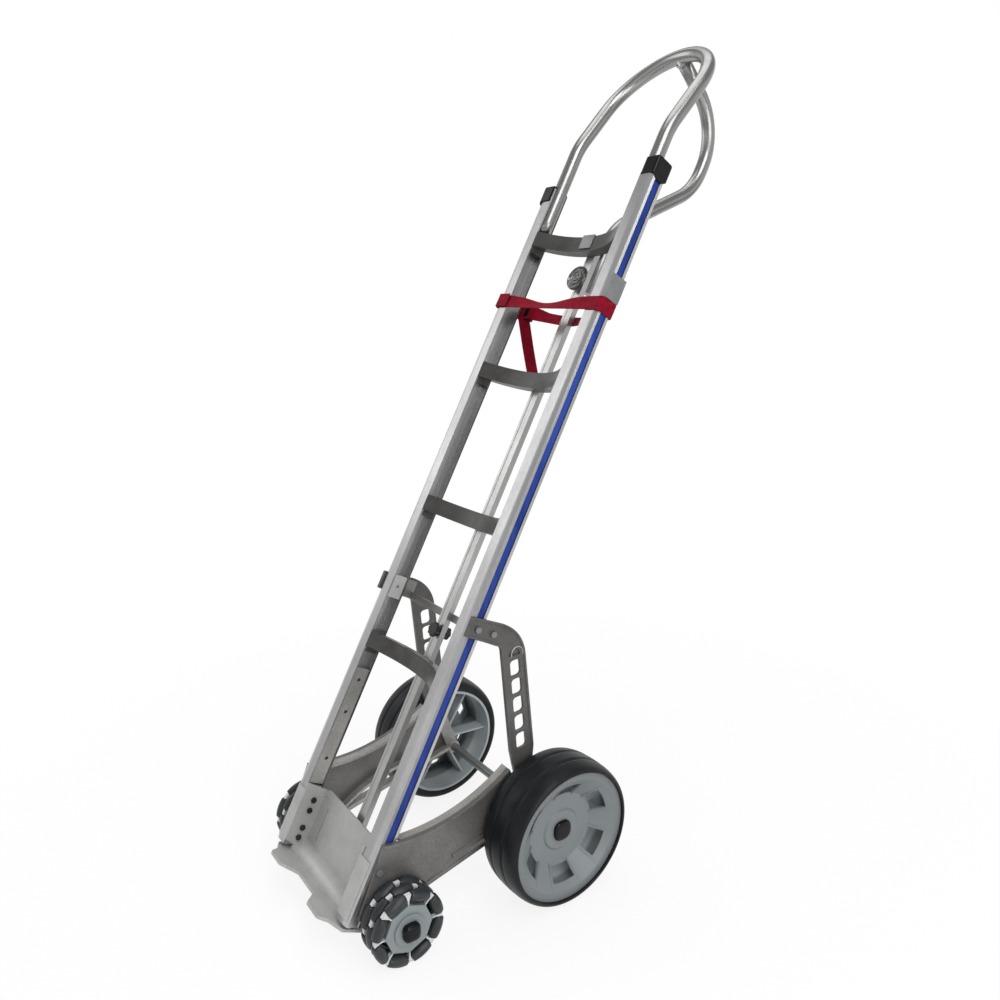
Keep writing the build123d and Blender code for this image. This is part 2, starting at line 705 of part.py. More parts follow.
top_front = side_point(ARM_FRONT_HIGH, LOWER_TOP_S)
low_front = side_point(ARM_FRONT_LOW, LOWER_LOW_S)
flange_y = (RAIL_D + SLIP + (LOWER_SAG_Z + RIM_W) * sin(lean)) / cos(lean)  # flanges start behind the rails
neck = (LOWER_NECK_Y, lower_top(LOWER_NECK_Y))
seat_front = (LEG_FOOT_FRONT_Y - SLIP, LEG_FOOT_Z - SLIP)
seat_rear = (LEG_FOOT_REAR_Y + SLIP, LEG_FOOT_Z - SLIP)
rear_boss = (REAR_AXLE_Y, WHEEL_R)
omni_boss = (OMNI_AXLE_Y, OMNI_R)
belly = (BELLY_Y, BELLY_Z)
belly_end = (BELLY_END_Y, BELLY_END_Z)
belly_start = (OMNI_AXLE_Y + OMNI_BOSS_R, OMNI_R)


def band_arcs(start_y):
    """Upper and lower arc of the band along the lower arm's top edge, from start_y to the neck and back."""
    start_z = lower_top(start_y)
    upper = ((start_y, start_z), (BELLY_Y, lower_top(BELLY_Y)), neck)
    lower = (
        (neck[0] + NECK_LEAN, neck[1] - RIM_W),
        (BELLY_Y, lower_top(BELLY_Y) - RIM_W),
        (start_y, start_z - RIM_W),
    )
    return upper, lower


with BuildPart() as lower_arm:
    with BuildSketch(upright(rail_out)):
        with BuildLine():
            ThreePointArc(
                (top_front[0], lower_top(top_front[0])), (BELLY_Y, lower_top(BELLY_Y)), neck
            )
            Polyline(
                neck,
                seat_front,
                seat_rear,
                (REAR_AXLE_Y + REAR_BOSS_R, WHEEL_R),
                (REAR_AXLE_Y, WHEEL_R - REAR_BOSS_R),
                belly_end,
            )
            ThreePointArc(belly_end, belly, belly_start)
            Polyline(
                belly_start,
                (OMNI_AXLE_Y, OMNI_R - OMNI_BOSS_R),
                low_front,
                (top_front[0], lower_top(top_front[0])),
            )
        make_face()
        with Locations(rear_boss):
            Circle(REAR_BOSS_R)
        with Locations(omni_boss):
            Circle(OMNI_BOSS_R)
    extrude(amount=ARM_T)
    with BuildSketch(upright(rail_out - ARM_DEEP)):
        flange_upper, flange_lower = band_arcs(flange_y)
        with BuildLine():
            ThreePointArc(*flange_upper)
            Line(flange_upper[2], flange_lower[0])
            ThreePointArc(*flange_lower)
            Line(flange_lower[2], flange_upper[0])
        make_face()
        with BuildLine():
            ThreePointArc(belly_end, belly, (belly_start[0], belly_start[1]))
            Line(belly_start, (belly_start[0], belly_start[1] + RIM_W))
            ThreePointArc(
                (belly_start[0], belly_start[1] + RIM_W),
                (belly[0], belly[1] + RIM_W),
                (belly_end[0], belly_end[1] + RIM_W),
            )
            Line((belly_end[0], belly_end[1] + RIM_W), belly_end)
        make_face()
        with Locations(rear_boss):
            Circle(REAR_BOSS_R - RIM_W)
        with Locations(omni_boss):
            Circle(OMNI_BOSS_R - BOSS_STEP)
        with BuildLine():
            Polyline(
                (omni_boss[0], omni_boss[1] + RIM_W),
                (rear_boss[0], rear_boss[1] + RIM_W),
                (rear_boss[0], rear_boss[1]),
                (omni_boss[0], omni_boss[1] - BOSS_STEP),
                close=True,
            )
        make_face()
    extrude(amount=ARM_DEEP)
    with BuildSketch(upright(rail_out - LUG_T)):
        with BuildLine():
            Polyline(
                (FOOT_BOLT_Y - LUG_R, FOOT_BOLT_Z),
                (FOOT_BOLT_Y + LUG_R, FOOT_BOLT_Z),
                (REAR_AXLE_Y + REAR_BOSS_R - RIM_W, WHEEL_R),
                (REAR_AXLE_Y - REAR_BOSS_R + RIM_W, WHEEL_R),
                close=True,
            )
        make_face()
        with Locations((FOOT_BOLT_Y, FOOT_BOLT_Z)):
            Circle(LUG_R)
    extrude(amount=LUG_T)
    with BuildSketch(upright(arm_out)):
        rim_upper, rim_lower = band_arcs(top_front[0])
        with BuildLine():
            ThreePointArc(*rim_upper)
            Line(rim_upper[2], rim_lower[0])
            ThreePointArc(*rim_lower)
            Line(rim_lower[2], rim_upper[0])
        make_face()
        with BuildLine():
            Polyline(
                belly_end,
                belly,
                (belly[0], belly[1] + RIM_W),
                (belly_end[0], belly_end[1] + RIM_W),
                close=True,
            )
        make_face()
    extrude(amount=ARM_RIM)
    with BuildSketch(upright(rail_out - ARM_DEEP)):
        with Locations(rear_boss):
            Circle(AXLE_R + SEAT)
        with Locations(omni_boss):
            Circle(OMNI_AXLE_R + SEAT)
        with Locations((FOOT_BOLT_Y, FOOT_BOLT_Z), side_point(rail_mid, LOWER_BOLT_S)):
            Circle(BOLT_R + BOLT_HOLE)
    extrude(amount=ARM_DEEP + ARM_T + ARM_RIM, mode=Mode.SUBTRACT)
keep_pair(lower_arm.part, "lower_arm")

# Upper arms: bent plates with a ladder of windows, lapped over the lower arms' lugs
rail_top_end = side_point(-ARM_RIM, UPPER_HIGH_S)
rail_low_end = side_point(-ARM_RIM, UPPER_LOW_S)


def leg_middle(z):
    """y of the leg's centre line."""
    low = (LEG_LOW_FRONT_Y + LEG_LOW_REAR_Y) / 2
    high = (CROOK_Y + ELBOW_Y + RIM_W) / 2
    return low + (high - low) * (z - LEG_LOW_Z) / (CROOK_Z - LEG_LOW_Z)


leg_slope = atan2(leg_middle(LEG_LOW_Z) - leg_middle(CROOK_Z), CROOK_Z - LEG_LOW_Z) * 180 / pi
with BuildSketch() as upper_shape:
    with BuildLine():
        Polyline(
            rail_top_end,
            (ELBOW_Y, ELBOW_Z),
            (LEG_LOW_REAR_Y, LEG_LOW_Z),
            (LEG_FOOT_REAR_Y, LEG_FOOT_Z),
            (LEG_FOOT_FRONT_Y, LEG_FOOT_Z),
            (LEG_LOW_FRONT_Y, LEG_LOW_Z),
            (CROOK_Y, CROOK_Z),
            rail_low_end,
            close=True,
        )
    make_face()
    elbow = upper_shape.vertices().sort_by_distance((ELBOW_Y, ELBOW_Z))[0]
    fillet(elbow, radius=ELBOW_R)
    crook = upper_shape.vertices().sort_by_distance((CROOK_Y, CROOK_Z))[0]
    fillet(crook, radius=CROOK_R)

with BuildPart() as upper_arm:
    with BuildSketch(upright(rail_out)):
        add(upper_shape.sketch)
        for k in range(WINDOWS):
            z = WINDOW_FIRST_Z - k * WINDOW_PITCH
            with Locations(Location((leg_middle(z), z, 0), leg_slope)):
                RectangleRounded(WINDOW_W, WINDOW_H, WINDOW_ROUND, mode=Mode.SUBTRACT)
        with Locations(
            side_point(rail_mid, UPPER_BOLT_S),
            side_point(TIE_BOLT_V, TIE_FOOT + TAB_H / 2),
            (FOOT_BOLT_Y, FOOT_BOLT_Z),
        ):
            Circle(BOLT_R + BOLT_HOLE, mode=Mode.SUBTRACT)
    extrude(amount=ARM_T)
    with BuildSketch(upright(arm_out)):
        add(upper_shape.sketch)
        offset(amount=-UPPER_RIM_W, mode=Mode.SUBTRACT)
    extrude(amount=UPPER_RIM)
    with BuildSketch(upright(arm_out)):
        with Locations((leg_middle(DIMPLE_Z), DIMPLE_Z)):
            Circle(DIMPLE_R)
        with Locations((leg_middle(DIMPLE_Z), DIMPLE_Z - DIMPLE_R / 2)):
            Rectangle(2 * DIMPLE_R, DIMPLE_R, mode=Mode.SUBTRACT)
    extrude(amount=-DIMPLE_DEPTH, mode=Mode.SUBTRACT)
keep_pair(upper_arm.part, "upper_arm")

# Clamp blocks in the rail channels behind the upper arms
with BuildPart() as clamp_block:
    with BuildSketch(beside(half_gap + FILLER_SET)):
        with Locations(((block_low + block_high) / 2, CLAMP_FOOT + CLAMP_H / 2)):
            Rectangle(block_high - block_low, CLAMP_H)
        with Locations((rail_mid, UPPER_BOLT_S)):
            Circle(BOLT_R + BOLT_HOLE, mode=Mode.SUBTRACT)
    extrude(amount=block_w - FILLER_SET)
keep_pair(clamp_block.part, "arm_clamp_block")

# Tie bar between the upper arms, behind the centre bar, with a tab at each end
tab_x = rail_out - TIE_T / 2
tab_v = (TIE_FRONT + bar_rear + TIE_T) / 2
with BuildPart() as tie_bar:
    with BuildSketch(across(TIE_FOOT)):
        with BuildLine():
            Polyline(
                (rail_out, TIE_FRONT),
                (rail_out, bar_rear + TIE_T),
                (-rail_out, bar_rear + TIE_T),
                (-rail_out, TIE_FRONT),
                (-rail_out + TIE_T, TIE_FRONT),
                (-rail_out + TIE_T, bar_rear),
                (rail_out - TIE_T, bar_rear),
                (rail_out - TIE_T, TIE_FRONT),
                close=True,
            )
        make_face()
    extrude(amount=TIE_H)
    with BuildSketch(across(TIE_FOOT)):
        with Locations((-tab_x, tab_v), (tab_x, tab_v)):
            Rectangle(TIE_T, bar_rear + TIE_T - TIE_FRONT)
    extrude(amount=TAB_H)
    with BuildSketch(beside(-rail_out)):
        with Locations((TIE_BOLT_V, TIE_FOOT + TAB_H / 2)):
            Circle(BOLT_R + BOLT_HOLE)
    extrude(amount=2 * rail_out, mode=Mode.SUBTRACT)
keep(tie_bar.part, "arm_tie_bar")


def bolts(spots):
    """Bolts along X on both sides: each spot gives y, z, the head's seat and the shank's end."""
    with BuildPart() as group:
        for y, z, seat, end in spots:
            out = 1 if seat > end else -1
            for hand in (-1, 1):
                with BuildSketch(upright(hand * seat, y, z)):
                    RegularPolygon(BOLT_HEAD_R, 6)
                extrude(amount=hand * out * BOLT_HEAD_H)
                with BuildSketch(upright(hand * seat, y, z)):
                    Circle(BOLT_R)
                extrude(amount=-hand * out * abs(seat - end))
    return group.part


upper_spot = side_point(rail_mid, UPPER_BOLT_S)
tie_spot = side_point(TIE_BOLT_V, TIE_FOOT + TAB_H / 2)
lower_spot = side_point(rail_mid, LOWER_BOLT_S)
block_in = half_gap + FILLER_SET
keep(
    bolts([(*upper_spot, arm_out, block_in), (*tie_spot, arm_out, rail_out - TIE_T)]),
    "upper_arm_bolts",
)
keep(bolts([(*lower_spot, arm_out, half_gap)]), "lower_arm_bolts")
keep(bolts([(FOOT_BOLT_Y, FOOT_BOLT_Z, rail_out - LUG_T, arm_out)]), "arm_foot_bolts")

# Rear axle, washers and end caps
rear_line = wheel_axis(REAR_AXLE_Y, WHEEL_R)
hub_outer = HUB_DISC_X + HUB_BOSS_H
cap_in = hub_outer + END_GAP
with BuildPart() as rear_axle:
    with BuildSketch(upright(-cap_in - AXLE_CAP_H / 2, REAR_AXLE_Y, WHEEL_R)):
        Circle(AXLE_R)
    extrude(amount=2 * cap_in + AXLE_CAP_H)
keep(rear_axle.part, "rear_axle")

with BuildPart() as washers:
    for hand in (-1, 1):
        with BuildSketch(upright(hand * arm_out, REAR_AXLE_Y, WHEEL_R)):
            Circle(WASHER_R)
            Circle(AXLE_R + SEAT, mode=Mode.SUBTRACT)
        extrude(amount=hand * (HUB_INNER_X - arm_out - END_GAP))
keep(washers.part, "axle_washers")


def end_caps(y, z, seat, axle_r, radius, height):
    """Push-on caps over both ends of an axle."""
    with BuildPart() as caps:
        with BuildSketch(turning(y, z)):
            with BuildLine():
                Polyline(
                    (seat, axle_r + SEAT),
                    (seat, radius),
                    (seat + height / 2, radius),
                    (seat + height, radius * CAP_CROWN),
                    (seat + height, 0),
                    (seat + height / 2 + SEAT, 0),
                    (seat + height / 2 + SEAT, axle_r + SEAT),
                    close=True,
                )
            make_face()
        revolve(axis=wheel_axis(y, z))
        mirror(about=Plane.YZ)
    return caps.part


keep(end_caps(REAR_AXLE_Y, WHEEL_R, cap_in, AXLE_R, AXLE_CAP_R, AXLE_CAP_H), "axle_caps")

# Rear wheels: tyre, dished hub with ribbed spokes, bearing sleeve
tyre_in = TYRE_MID - TYRE_W / 2
tyre_out = TYRE_MID + TYRE_W / 2
shoulder_r = WHEEL_R - TYRE_CROWN
side_r = WHEEL_R - TYRE_SIDE
with BuildPart() as tyre:
    with BuildSketch(turning(REAR_AXLE_Y, WHEEL_R)):
        with BuildLine():
            Polyline(
                (tyre_in, tyre_seat_r + SEAT),
                (tyre_in, side_r),
                (tyre_in + TYRE_SHOULDER, shoulder_r),
                (TYRE_MID - TREAD_FLAT, WHEEL_R),
                (TYRE_MID + TREAD_FLAT, WHEEL_R),
                (tyre_out - TYRE_SHOULDER, shoulder_r),
                (tyre_out, side_r),
                (HUB_LIP_X, hub_lip_r + SEAT),
                (HUB_LIP_X - HUB_LIP_H, hub_lip_r + SEAT),
                (HUB_LIP_X - HUB_LIP_H, tyre_seat_r + SEAT),
                close=True,
            )
        make_face()
    revolve(axis=rear_line)
keep_pair(tyre.part, "rear_tyre")

dish_rise = (HUB_LIP_X - HUB_DISC_X) / (hub_lip_in - HUB_DISC_R)


def dish_x(r):
    """x of the dish's outer face at radius r."""
    return HUB_DISC_X + (r - HUB_DISC_R) * dish_rise


core_in = (HUB_CORE_R + SLEEVE_R) / 2  # inner ribs start inside the core's wall
with BuildPart() as rear_hub:
    with BuildSketch(turning(REAR_AXLE_Y, WHEEL_R)):
        with BuildLine():
            Polyline(
                (tyre_in, tyre_seat_r),
                (HUB_LIP_X - HUB_LIP_H + SEAT, tyre_seat_r),
                (HUB_LIP_X - HUB_LIP_H + SEAT, hub_lip_r),
                (HUB_LIP_X, hub_lip_r),
                (HUB_LIP_X, hub_lip_in),
                (HUB_DISC_X, HUB_DISC_R),
                (HUB_DISC_X, HUB_BOSS_R),
                (hub_outer, HUB_BOSS_R - HUB_BOSS_H),
                (hub_outer, SLEEVE_R + SEAT),
                (HUB_INNER_X, SLEEVE_R + SEAT),
                (HUB_INNER_X, HUB_CORE_R),
                (HUB_DISC_X - HUB_WALL, HUB_CORE_R),
                (HUB_DISC_X - HUB_WALL, HUB_DISC_R),
                (dish_x(hub_lip_in) - HUB_WALL, hub_lip_in),
                (tyre_in, hub_lip_in),
                close=True,
            )
        make_face()
    revolve(axis=rear_line)
    for k in range(SPOKES):
        turn = SPOKE_TURN + 360 / SPOKES * (k + 0.5)
        with BuildSketch(upright(HUB_DISC_X - 2 * HUB_WALL, REAR_AXLE_Y, WHEEL_R)):
            with BuildLine():
                CenterArc((0, 0), window_in, turn - WINDOW_HALF, 2 * WINDOW_HALF)
                CenterArc((0, 0), window_out, turn - WINDOW_HALF, 2 * WINDOW_HALF)
                for side in (turn - WINDOW_HALF, turn + WINDOW_HALF):
                    corner = (window_in * cos(radians(side)), window_in * sin(radians(side)))
                    PolarLine(corner, WINDOW_L, side)
            make_face()
        extrude(amount=HUB_LIP_X - HUB_DISC_X, mode=Mode.SUBTRACT)
    for k in range(SPOKES):
        for spread in (-RIB_SPREAD, RIB_SPREAD):
            turn = radians(SPOKE_TURN + 360 / SPOKES * k + spread)
            rib_plane = Plane(
                origin=(0, y_shift + REAR_AXLE_Y, WHEEL_R),
                x_dir=(1, 0, 0),
                z_dir=(0, -sin(turn), cos(turn)),
            )
            with BuildSketch(rib_plane):
                with BuildLine():
                    Polyline(
                        (HUB_DISC_X - HUB_WALL / 2, -HUB_DISC_R + RIB_T),
                        (HUB_DISC_X, -HUB_DISC_R + RIB_T),
                        (dish_x(hub_lip_in) - HUB_LIP_H / 2, -hub_lip_in + RIB_T),
                        (dish_x(hub_lip_in) - HUB_LIP_H / 2, -hub_lip_in - RIB_T),
                        (dish_x(hub_lip_in) - RIB_H - HUB_LIP_H, -hub_lip_in - RIB_T),
                        close=True,
                    )
                make_face()
            extrude(amount=RIB_T / 2, both=True)
        turn = radians(SPOKE_TURN + 360 / SPOKES * k)
        inner_plane = Plane(
            origin=(0, y_shift + REAR_AXLE_Y, WHEEL_R), x_dir=(1, 0, 0), z_dir=(0, -sin(turn), cos(turn))
        )
        with BuildSketch(inner_plane):
            with BuildLine():
                Polyline(
                    (HUB_DISC_X - HUB_WALL / 2, -core_in),
                    (INNER_RIB_X, -core_in),
                    (INNER_RIB_X, -hub_lip_in - HUB_WALL / 2),
                    (HUB_LIP_X - HUB_LIP_H - HUB_WALL, -hub_lip_in - HUB_WALL / 2),
                    (HUB_DISC_X - HUB_WALL / 2, -HUB_DISC_R),
                    close=True,
                )
            make_face()
        extrude(amount=INNER_RIB_T / 2, both=True)
keep_pair(rear_hub.part, "rear_hub")

with BuildPart() as rear_sleeve:
    with BuildSketch(upright(HUB_INNER_X, REAR_AXLE_Y, WHEEL_R)):
        Circle(SLEEVE_R)
        Circle(AXLE_R + RUN, mode=Mode.SUBTRACT)
    extrude(amount=hub_outer - HUB_INNER_X)
keep_pair(rear_sleeve.part, "rear_bearing_sleeve")

# Omnidirectional wheels: star hub, rows of barrel rollers staggered by half a step
roller_step = 360 / ROLLERS
rows = [(k - (OMNI_ROWS - 1) / 2) * ROW_PITCH for k in range(OMNI_ROWS)]
contact_row = OMNI_ROWS // 2


def row_turn(row):
    """Angle of a row's first star tip: the contact row has a roller straight down."""
    return roller_step / 2 if row == contact_row else 0.0


def roller_place(row, k):
    """Plane whose x axis is the roller's axis and whose y axis points away from the wheel's axis."""
    turn = radians(row_turn(row) + roller_step * (k + 0.5) - 90)
    outward = Vector(0, cos(turn), sin(turn))
    tangent = Vector(0, -sin(turn), cos(turn))
    centre = Vector(OMNI_MID + rows[row], y_shift + OMNI_AXLE_Y, OMNI_R) + outward * roller_axis_r
    return Plane(origin=centre, x_dir=tangent, z_dir=(1, 0, 0))


contact_index = [
    k for k in range(ROLLERS) if abs((row_turn(contact_row) + roller_step * (k + 0.5) - 90) % 360 - 270) < 1
][0]
pin_place = roller_place(contact_row, contact_index)
with BuildPart() as omni_hub:
    for row, row_x in enumerate(rows):
        with BuildSketch(upright(OMNI_MID + row_x, OMNI_AXLE_Y, OMNI_R)):
            RegularPolygon(octagon_r, ROLLERS, rotation=row_turn(row))
            with PolarLocations(0, ROLLERS, start_angle=row_turn(row)):
                Polygon(
                    (OMNI_FACE_R, -TIP_NECK),
                    (tip_neck_r, -TIP_NECK),
                    (tip_r, -TIP_HALF),
                    (tip_r, TIP_HALF),
                    (tip_neck_r, TIP_NECK),
                    (OMNI_FACE_R, TIP_NECK),
                    align=None,
                )
        extrude(amount=STAR_T / 2, both=True)
    with BuildSketch(upright(OMNI_MID - core_half, OMNI_AXLE_Y, OMNI_R)):
        RegularPolygon(octagon_r * cos(pi / ROLLERS), 2 * ROLLERS)
    extrude(amount=2 * core_half)
    with BuildSketch(upright(OMNI_MID + core_half, OMNI_AXLE_Y, OMNI_R)):
        Circle(OMNI_FACE_R)
    extrude(amount=STAR_T / 2 + OMNI_FACE_H)
    with BuildSketch(Plane(origin=pin_place.origin, x_dir=(1, 0, 0), z_dir=pin_place.x_dir)):
        Circle(ROLLER_PIN_R)
    extrude(amount=roller_half + TIP_HALF / 2, both=True)
    with BuildSketch(upright(OMNI_MID - core_half - STAR_T, OMNI_AXLE_Y, OMNI_R)):
        Circle(OMNI_BUSH_R + SEAT)
    extrude(amount=2 * (core_half + STAR_T) + OMNI_FACE_H, mode=Mode.SUBTRACT)
keep_pair(omni_hub.part, "omni_hub")


def barrel(sides):
    """Flat-sided barrel roller along X at the origin."""
    drop = (ROLLER_R - roller_end_r) * cos(pi / sides)
    with BuildPart() as roller:
        with BuildSketch(Plane.YZ):
            RegularPolygon(ROLLER_R, sides)
        extrude(amount=roller_half, both=True)
        for end in (roller.faces().sort_by(Axis.X)[0], roller.faces().sort_by(Axis.X)[-1]):
            chamfer(end.edges(), length=drop, length2=roller_half - ROLLER_FLAT, reference=end)
    return roller.part


plain_roller = barrel(ROLLER_SIDES)
with BuildPart() as omni_rollers:
    for row in range(OMNI_ROWS):
        for k in range(ROLLERS):
            if (row, k) != (contact_row, contact_index):
                add(roller_place(row, k).location * plain_roller)
keep_pair(omni_rollers.part, "omni_rollers")

with BuildPart() as contact_roller:
    add(pin_place.location * barrel(FLOOR_ROLLER_SIDES))
    with BuildSketch(Plane(origin=pin_place.origin, x_dir=(1, 0, 0), z_dir=pin_place.x_dir)):
        Circle(ROLLER_PIN_R + RUN)
    extrude(amount=tip_reach, both=True, mode=Mode.SUBTRACT)
keep_pair(contact_roller.part, "omni_contact_roller")

omni_low = OMNI_MID - core_half - STAR_T / 2
omni_high = OMNI_MID + core_half + STAR_T / 2 + OMNI_FACE_H
with BuildPart() as omni_bush:
    with BuildSketch(upright(omni_low, OMNI_AXLE_Y, OMNI_R)):
        Circle(OMNI_BUSH_R)
        Circle(OMNI_AXLE_R + RUN, mode=Mode.SUBTRACT)
    extrude(amount=omni_high - omni_low)
keep_pair(omni_bush.part, "omni_bush")

with BuildPart() as omni_axle:
    with BuildSketch(upright(rail_out - ARM_DEEP, OMNI_AXLE_Y, OMNI_R)):
        Circle(OMNI_AXLE_R)
    extrude(amount=omni_high + END_GAP + OMNI_CAP_H / 2 - rail_out + ARM_DEEP)
    with BuildSketch(upright(rail_out - ARM_DEEP, OMNI_AXLE_Y, OMNI_R)):
        RegularPolygon(OMNI_BUSH_R, 6)
    extrude(amount=-BOLT_HEAD_H)
    with BuildSketch(upright(arm_out, OMNI_AXLE_Y, OMNI_R)):
        Circle(OMNI_BUSH_R)
    extrude(amount=omni_low - END_GAP - arm_out)
    mirror(about=Plane.YZ)
keep(omni_axle.part, "omni_axle_bolts")

keep(
    end_caps(OMNI_AXLE_Y, OMNI_R, omni_high + END_GAP, OMNI_AXLE_R, OMNI_CAP_R, OMNI_CAP_H), "omni_caps"
)


# Clamp knobs with their studs, and the nuts behind
def knob(s, radius, front, height, stud_end):
    with BuildPart() as turned:
        with BuildSketch(facing(front)):
            with Locations((0, s)):
                star = []
                for k in range(2 * KNOB_LOBES):
                    reach = radius - KNOB_SCALLOP * (k % 2)
                    star.append((reach * cos(pi * k / KNOB_LOBES), reach * sin(pi * k / KNOB_LOBES)))
                Polygon(*star, align=None)
        extrude(amount=-height)
        with BuildSketch(facing(front + height)):
            with Locations((0, s)):
                Circle(KNOB_NECK_R)
        extrude(amount=front + height - bar_front + KNOB_GAP)
        with BuildSketch(facing(bar_front - KNOB_GAP)):
            with Locations((0, s)):
                Circle(STUD_R)
        extrude(amount=bar_front - KNOB_GAP - stud_end)
    return turned.part


upper_seat = bar_rear + 2 * TUBE_R
keep(knob(upper_knob_s, UPPER_KNOB_R, UPPER_KNOB_V, UPPER_KNOB_H, upper_seat + NUT_H), "upper_knob")
keep(knob(lower_knob_s, LOWER_KNOB_R, LOWER_KNOB_V, LOWER_KNOB_H, bar_rear + NUT_H), "lower_knob")
with BuildPart() as knob_nuts:
    for s, seat in ((upper_knob_s, upper_seat), (lower_knob_s, bar_rear)):
        with BuildSketch(facing(seat)):
            with Locations((0, s)):
                RegularPolygon(NUT_R, 6)
                Circle(STUD_R + RUN, mode=Mode.SUBTRACT)
        extrude(amount=-NUT_H)
keep(knob_nuts.part, "knob_nuts")

# Strap round both rails, its tail, the buckle, and the bracket on the left rail
strap_slope = atan2(STRAP_DROP, 2 * rail_out)
strap_dir = Vector(cos(strap_slope), 0, 0) - along * sin(strap_slope)
strap_up = strap_dir.cross(rearward)


def strap_plane(rise):
    return Plane(origin=in_frame(0, 0, STRAP_S) + strap_up * rise, x_dir=strap_dir, z_dir=strap_up)


strap_side = (rail_out + STRAP_W / 2 * sin(strap_slope)) / cos(strap_slope) + STRAP_GAP + STRAP_T
strap_back = bar_rear + STRAP_GAP + STRAP_T
strap_bend = BAR_W / 2 + STRAP_T
run_rise = (strap_back - RAIL_D - STRAP_GAP - STRAP_T) / (strap_side - strap_bend)
run_v = strap_back - run_rise * (-BUCKLE_X - strap_bend) - STRAP_T / 2
run_dir = (strap_dir + rearward * run_rise).normalized()
buckle_low = strap_plane(-BUCKLE_H / 2).from_local_coords((BUCKLE_X, run_v, 0))
tail_drop = STRAP_GAP + STRAP_T / 2 * sin(lean) + STRAP_W / 2 * sin(strap_slope)  # clears the buckle
tail_top = buckle_low - strap_up * tail_drop
with BuildPart() as webbing:
    with BuildSketch(strap_plane(-STRAP_W / 2)) as band:
        with BuildLine():
            FilletPolyline(
                (-strap_side, -STRAP_GAP - STRAP_T),
                (strap_side, -STRAP_GAP - STRAP_T),
                (strap_side, RAIL_D + STRAP_GAP + STRAP_T),
                (strap_bend, strap_back),
                (-strap_bend, strap_back),
                (-strap_side, RAIL_D + STRAP_GAP + STRAP_T),
                radius=STRAP_ROUND,
                close=True,
            )
        make_face()
        offset(amount=-STRAP_T, mode=Mode.SUBTRACT)
    extrude(amount=STRAP_W)
    with BuildSketch(Plane(origin=tail_top, x_dir=(1, 0, 0), z_dir=(0, -1, 0))):
        with Locations((0, -TAIL_LENGTH / 2)):
            Rectangle(STRAP_W, TAIL_LENGTH)
    extrude(amount=STRAP_T / 2, both=True)
keep(webbing.part, "strap_webbing")

buckle_plane = Plane(origin=buckle_low, x_dir=run_dir, z_dir=strap_up)
with BuildPart() as buckle:
    with BuildSketch(buckle_plane):
        Rectangle(BUCKLE_W, STRAP_T + 2 * (STRAP_GAP + BUCKLE_T))
    extrude(amount=BUCKLE_H)
    with BuildSketch(buckle_plane):
        Rectangle(BUCKLE_W, STRAP_T + 2 * STRAP_GAP)
    extrude(amount=(BUCKLE_H + STRAP_W) / 2 + STRAP_GAP, mode=Mode.SUBTRACT)
keep(buckle.part, "strap_buckle")

with BuildPart() as strap_bracket:
    with BuildSketch(across(CLIP_S)):
        with BuildLine():
            Polyline(
                (rail_out + SEAT, CLIP_FRONT),
                (rail_out + SEAT + CLIP_T, CLIP_FRONT),
                (rail_out + SEAT + CLIP_T, RAIL_D + SEAT + CLIP_T),
                (rail_out - CLIP_REACH, RAIL_D + SEAT + CLIP_T),
                (rail_out - CLIP_REACH, RAIL_D + SEAT),
                (rail_out + SEAT, RAIL_D + SEAT),
                close=True,
            )
        make_face()
    extrude(amount=CLIP_H)
keep(strap_bracket.part, "strap_bracket")
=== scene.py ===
# Dresses the gas cylinder trolley: materials, handle, strap, tyres, rollers and small fittings
import json
from math import atan2, cos, exp, pi, radians, sin, sqrt, tan

import bpy
from mathutils import Matrix, Vector


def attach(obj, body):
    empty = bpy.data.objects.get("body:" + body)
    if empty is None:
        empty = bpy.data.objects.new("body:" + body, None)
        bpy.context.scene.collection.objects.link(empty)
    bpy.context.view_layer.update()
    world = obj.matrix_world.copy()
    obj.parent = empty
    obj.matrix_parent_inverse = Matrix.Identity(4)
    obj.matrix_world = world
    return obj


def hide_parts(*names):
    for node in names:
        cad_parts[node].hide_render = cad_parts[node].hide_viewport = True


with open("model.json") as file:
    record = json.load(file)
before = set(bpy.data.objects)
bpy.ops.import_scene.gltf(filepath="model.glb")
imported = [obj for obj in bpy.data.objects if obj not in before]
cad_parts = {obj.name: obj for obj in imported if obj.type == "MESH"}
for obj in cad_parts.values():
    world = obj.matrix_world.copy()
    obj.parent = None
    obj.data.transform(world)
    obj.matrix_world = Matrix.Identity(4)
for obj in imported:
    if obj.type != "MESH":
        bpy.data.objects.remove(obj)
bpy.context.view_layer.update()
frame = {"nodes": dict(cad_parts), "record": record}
nodes = frame["nodes"]

# Frame of the trolley in millimetres: x across, v square to the rails to the rear, s along the rails
MM = 0.001
LEAN = radians(27.6)
SHIFT_Y = -469.95
RAIL_OUT = 141.0
RAIL_D = 33.0
ALONG = Vector((0, sin(LEAN), cos(LEAN)))
REARWARD = Vector((0, cos(LEAN), -sin(LEAN)))
ACROSS = Vector((1, 0, 0))
SIDES = {"left": 1, "right": -1}

# Wheels
WHEEL_Y = 403.7
WHEEL_R = 127.0
OMNI_Y = 116.3
OMNI_R = 62.5


def in_frame(x, v, s):
    """A point in metres."""
    return (Vector((x, SHIFT_Y, 0)) + REARWARD * v + ALONG * s) * MM


def on_axle(x, y, z):
    """A point in metres, given across, along the floor and above it."""
    return Vector((x, SHIFT_Y + y, z)) * MM


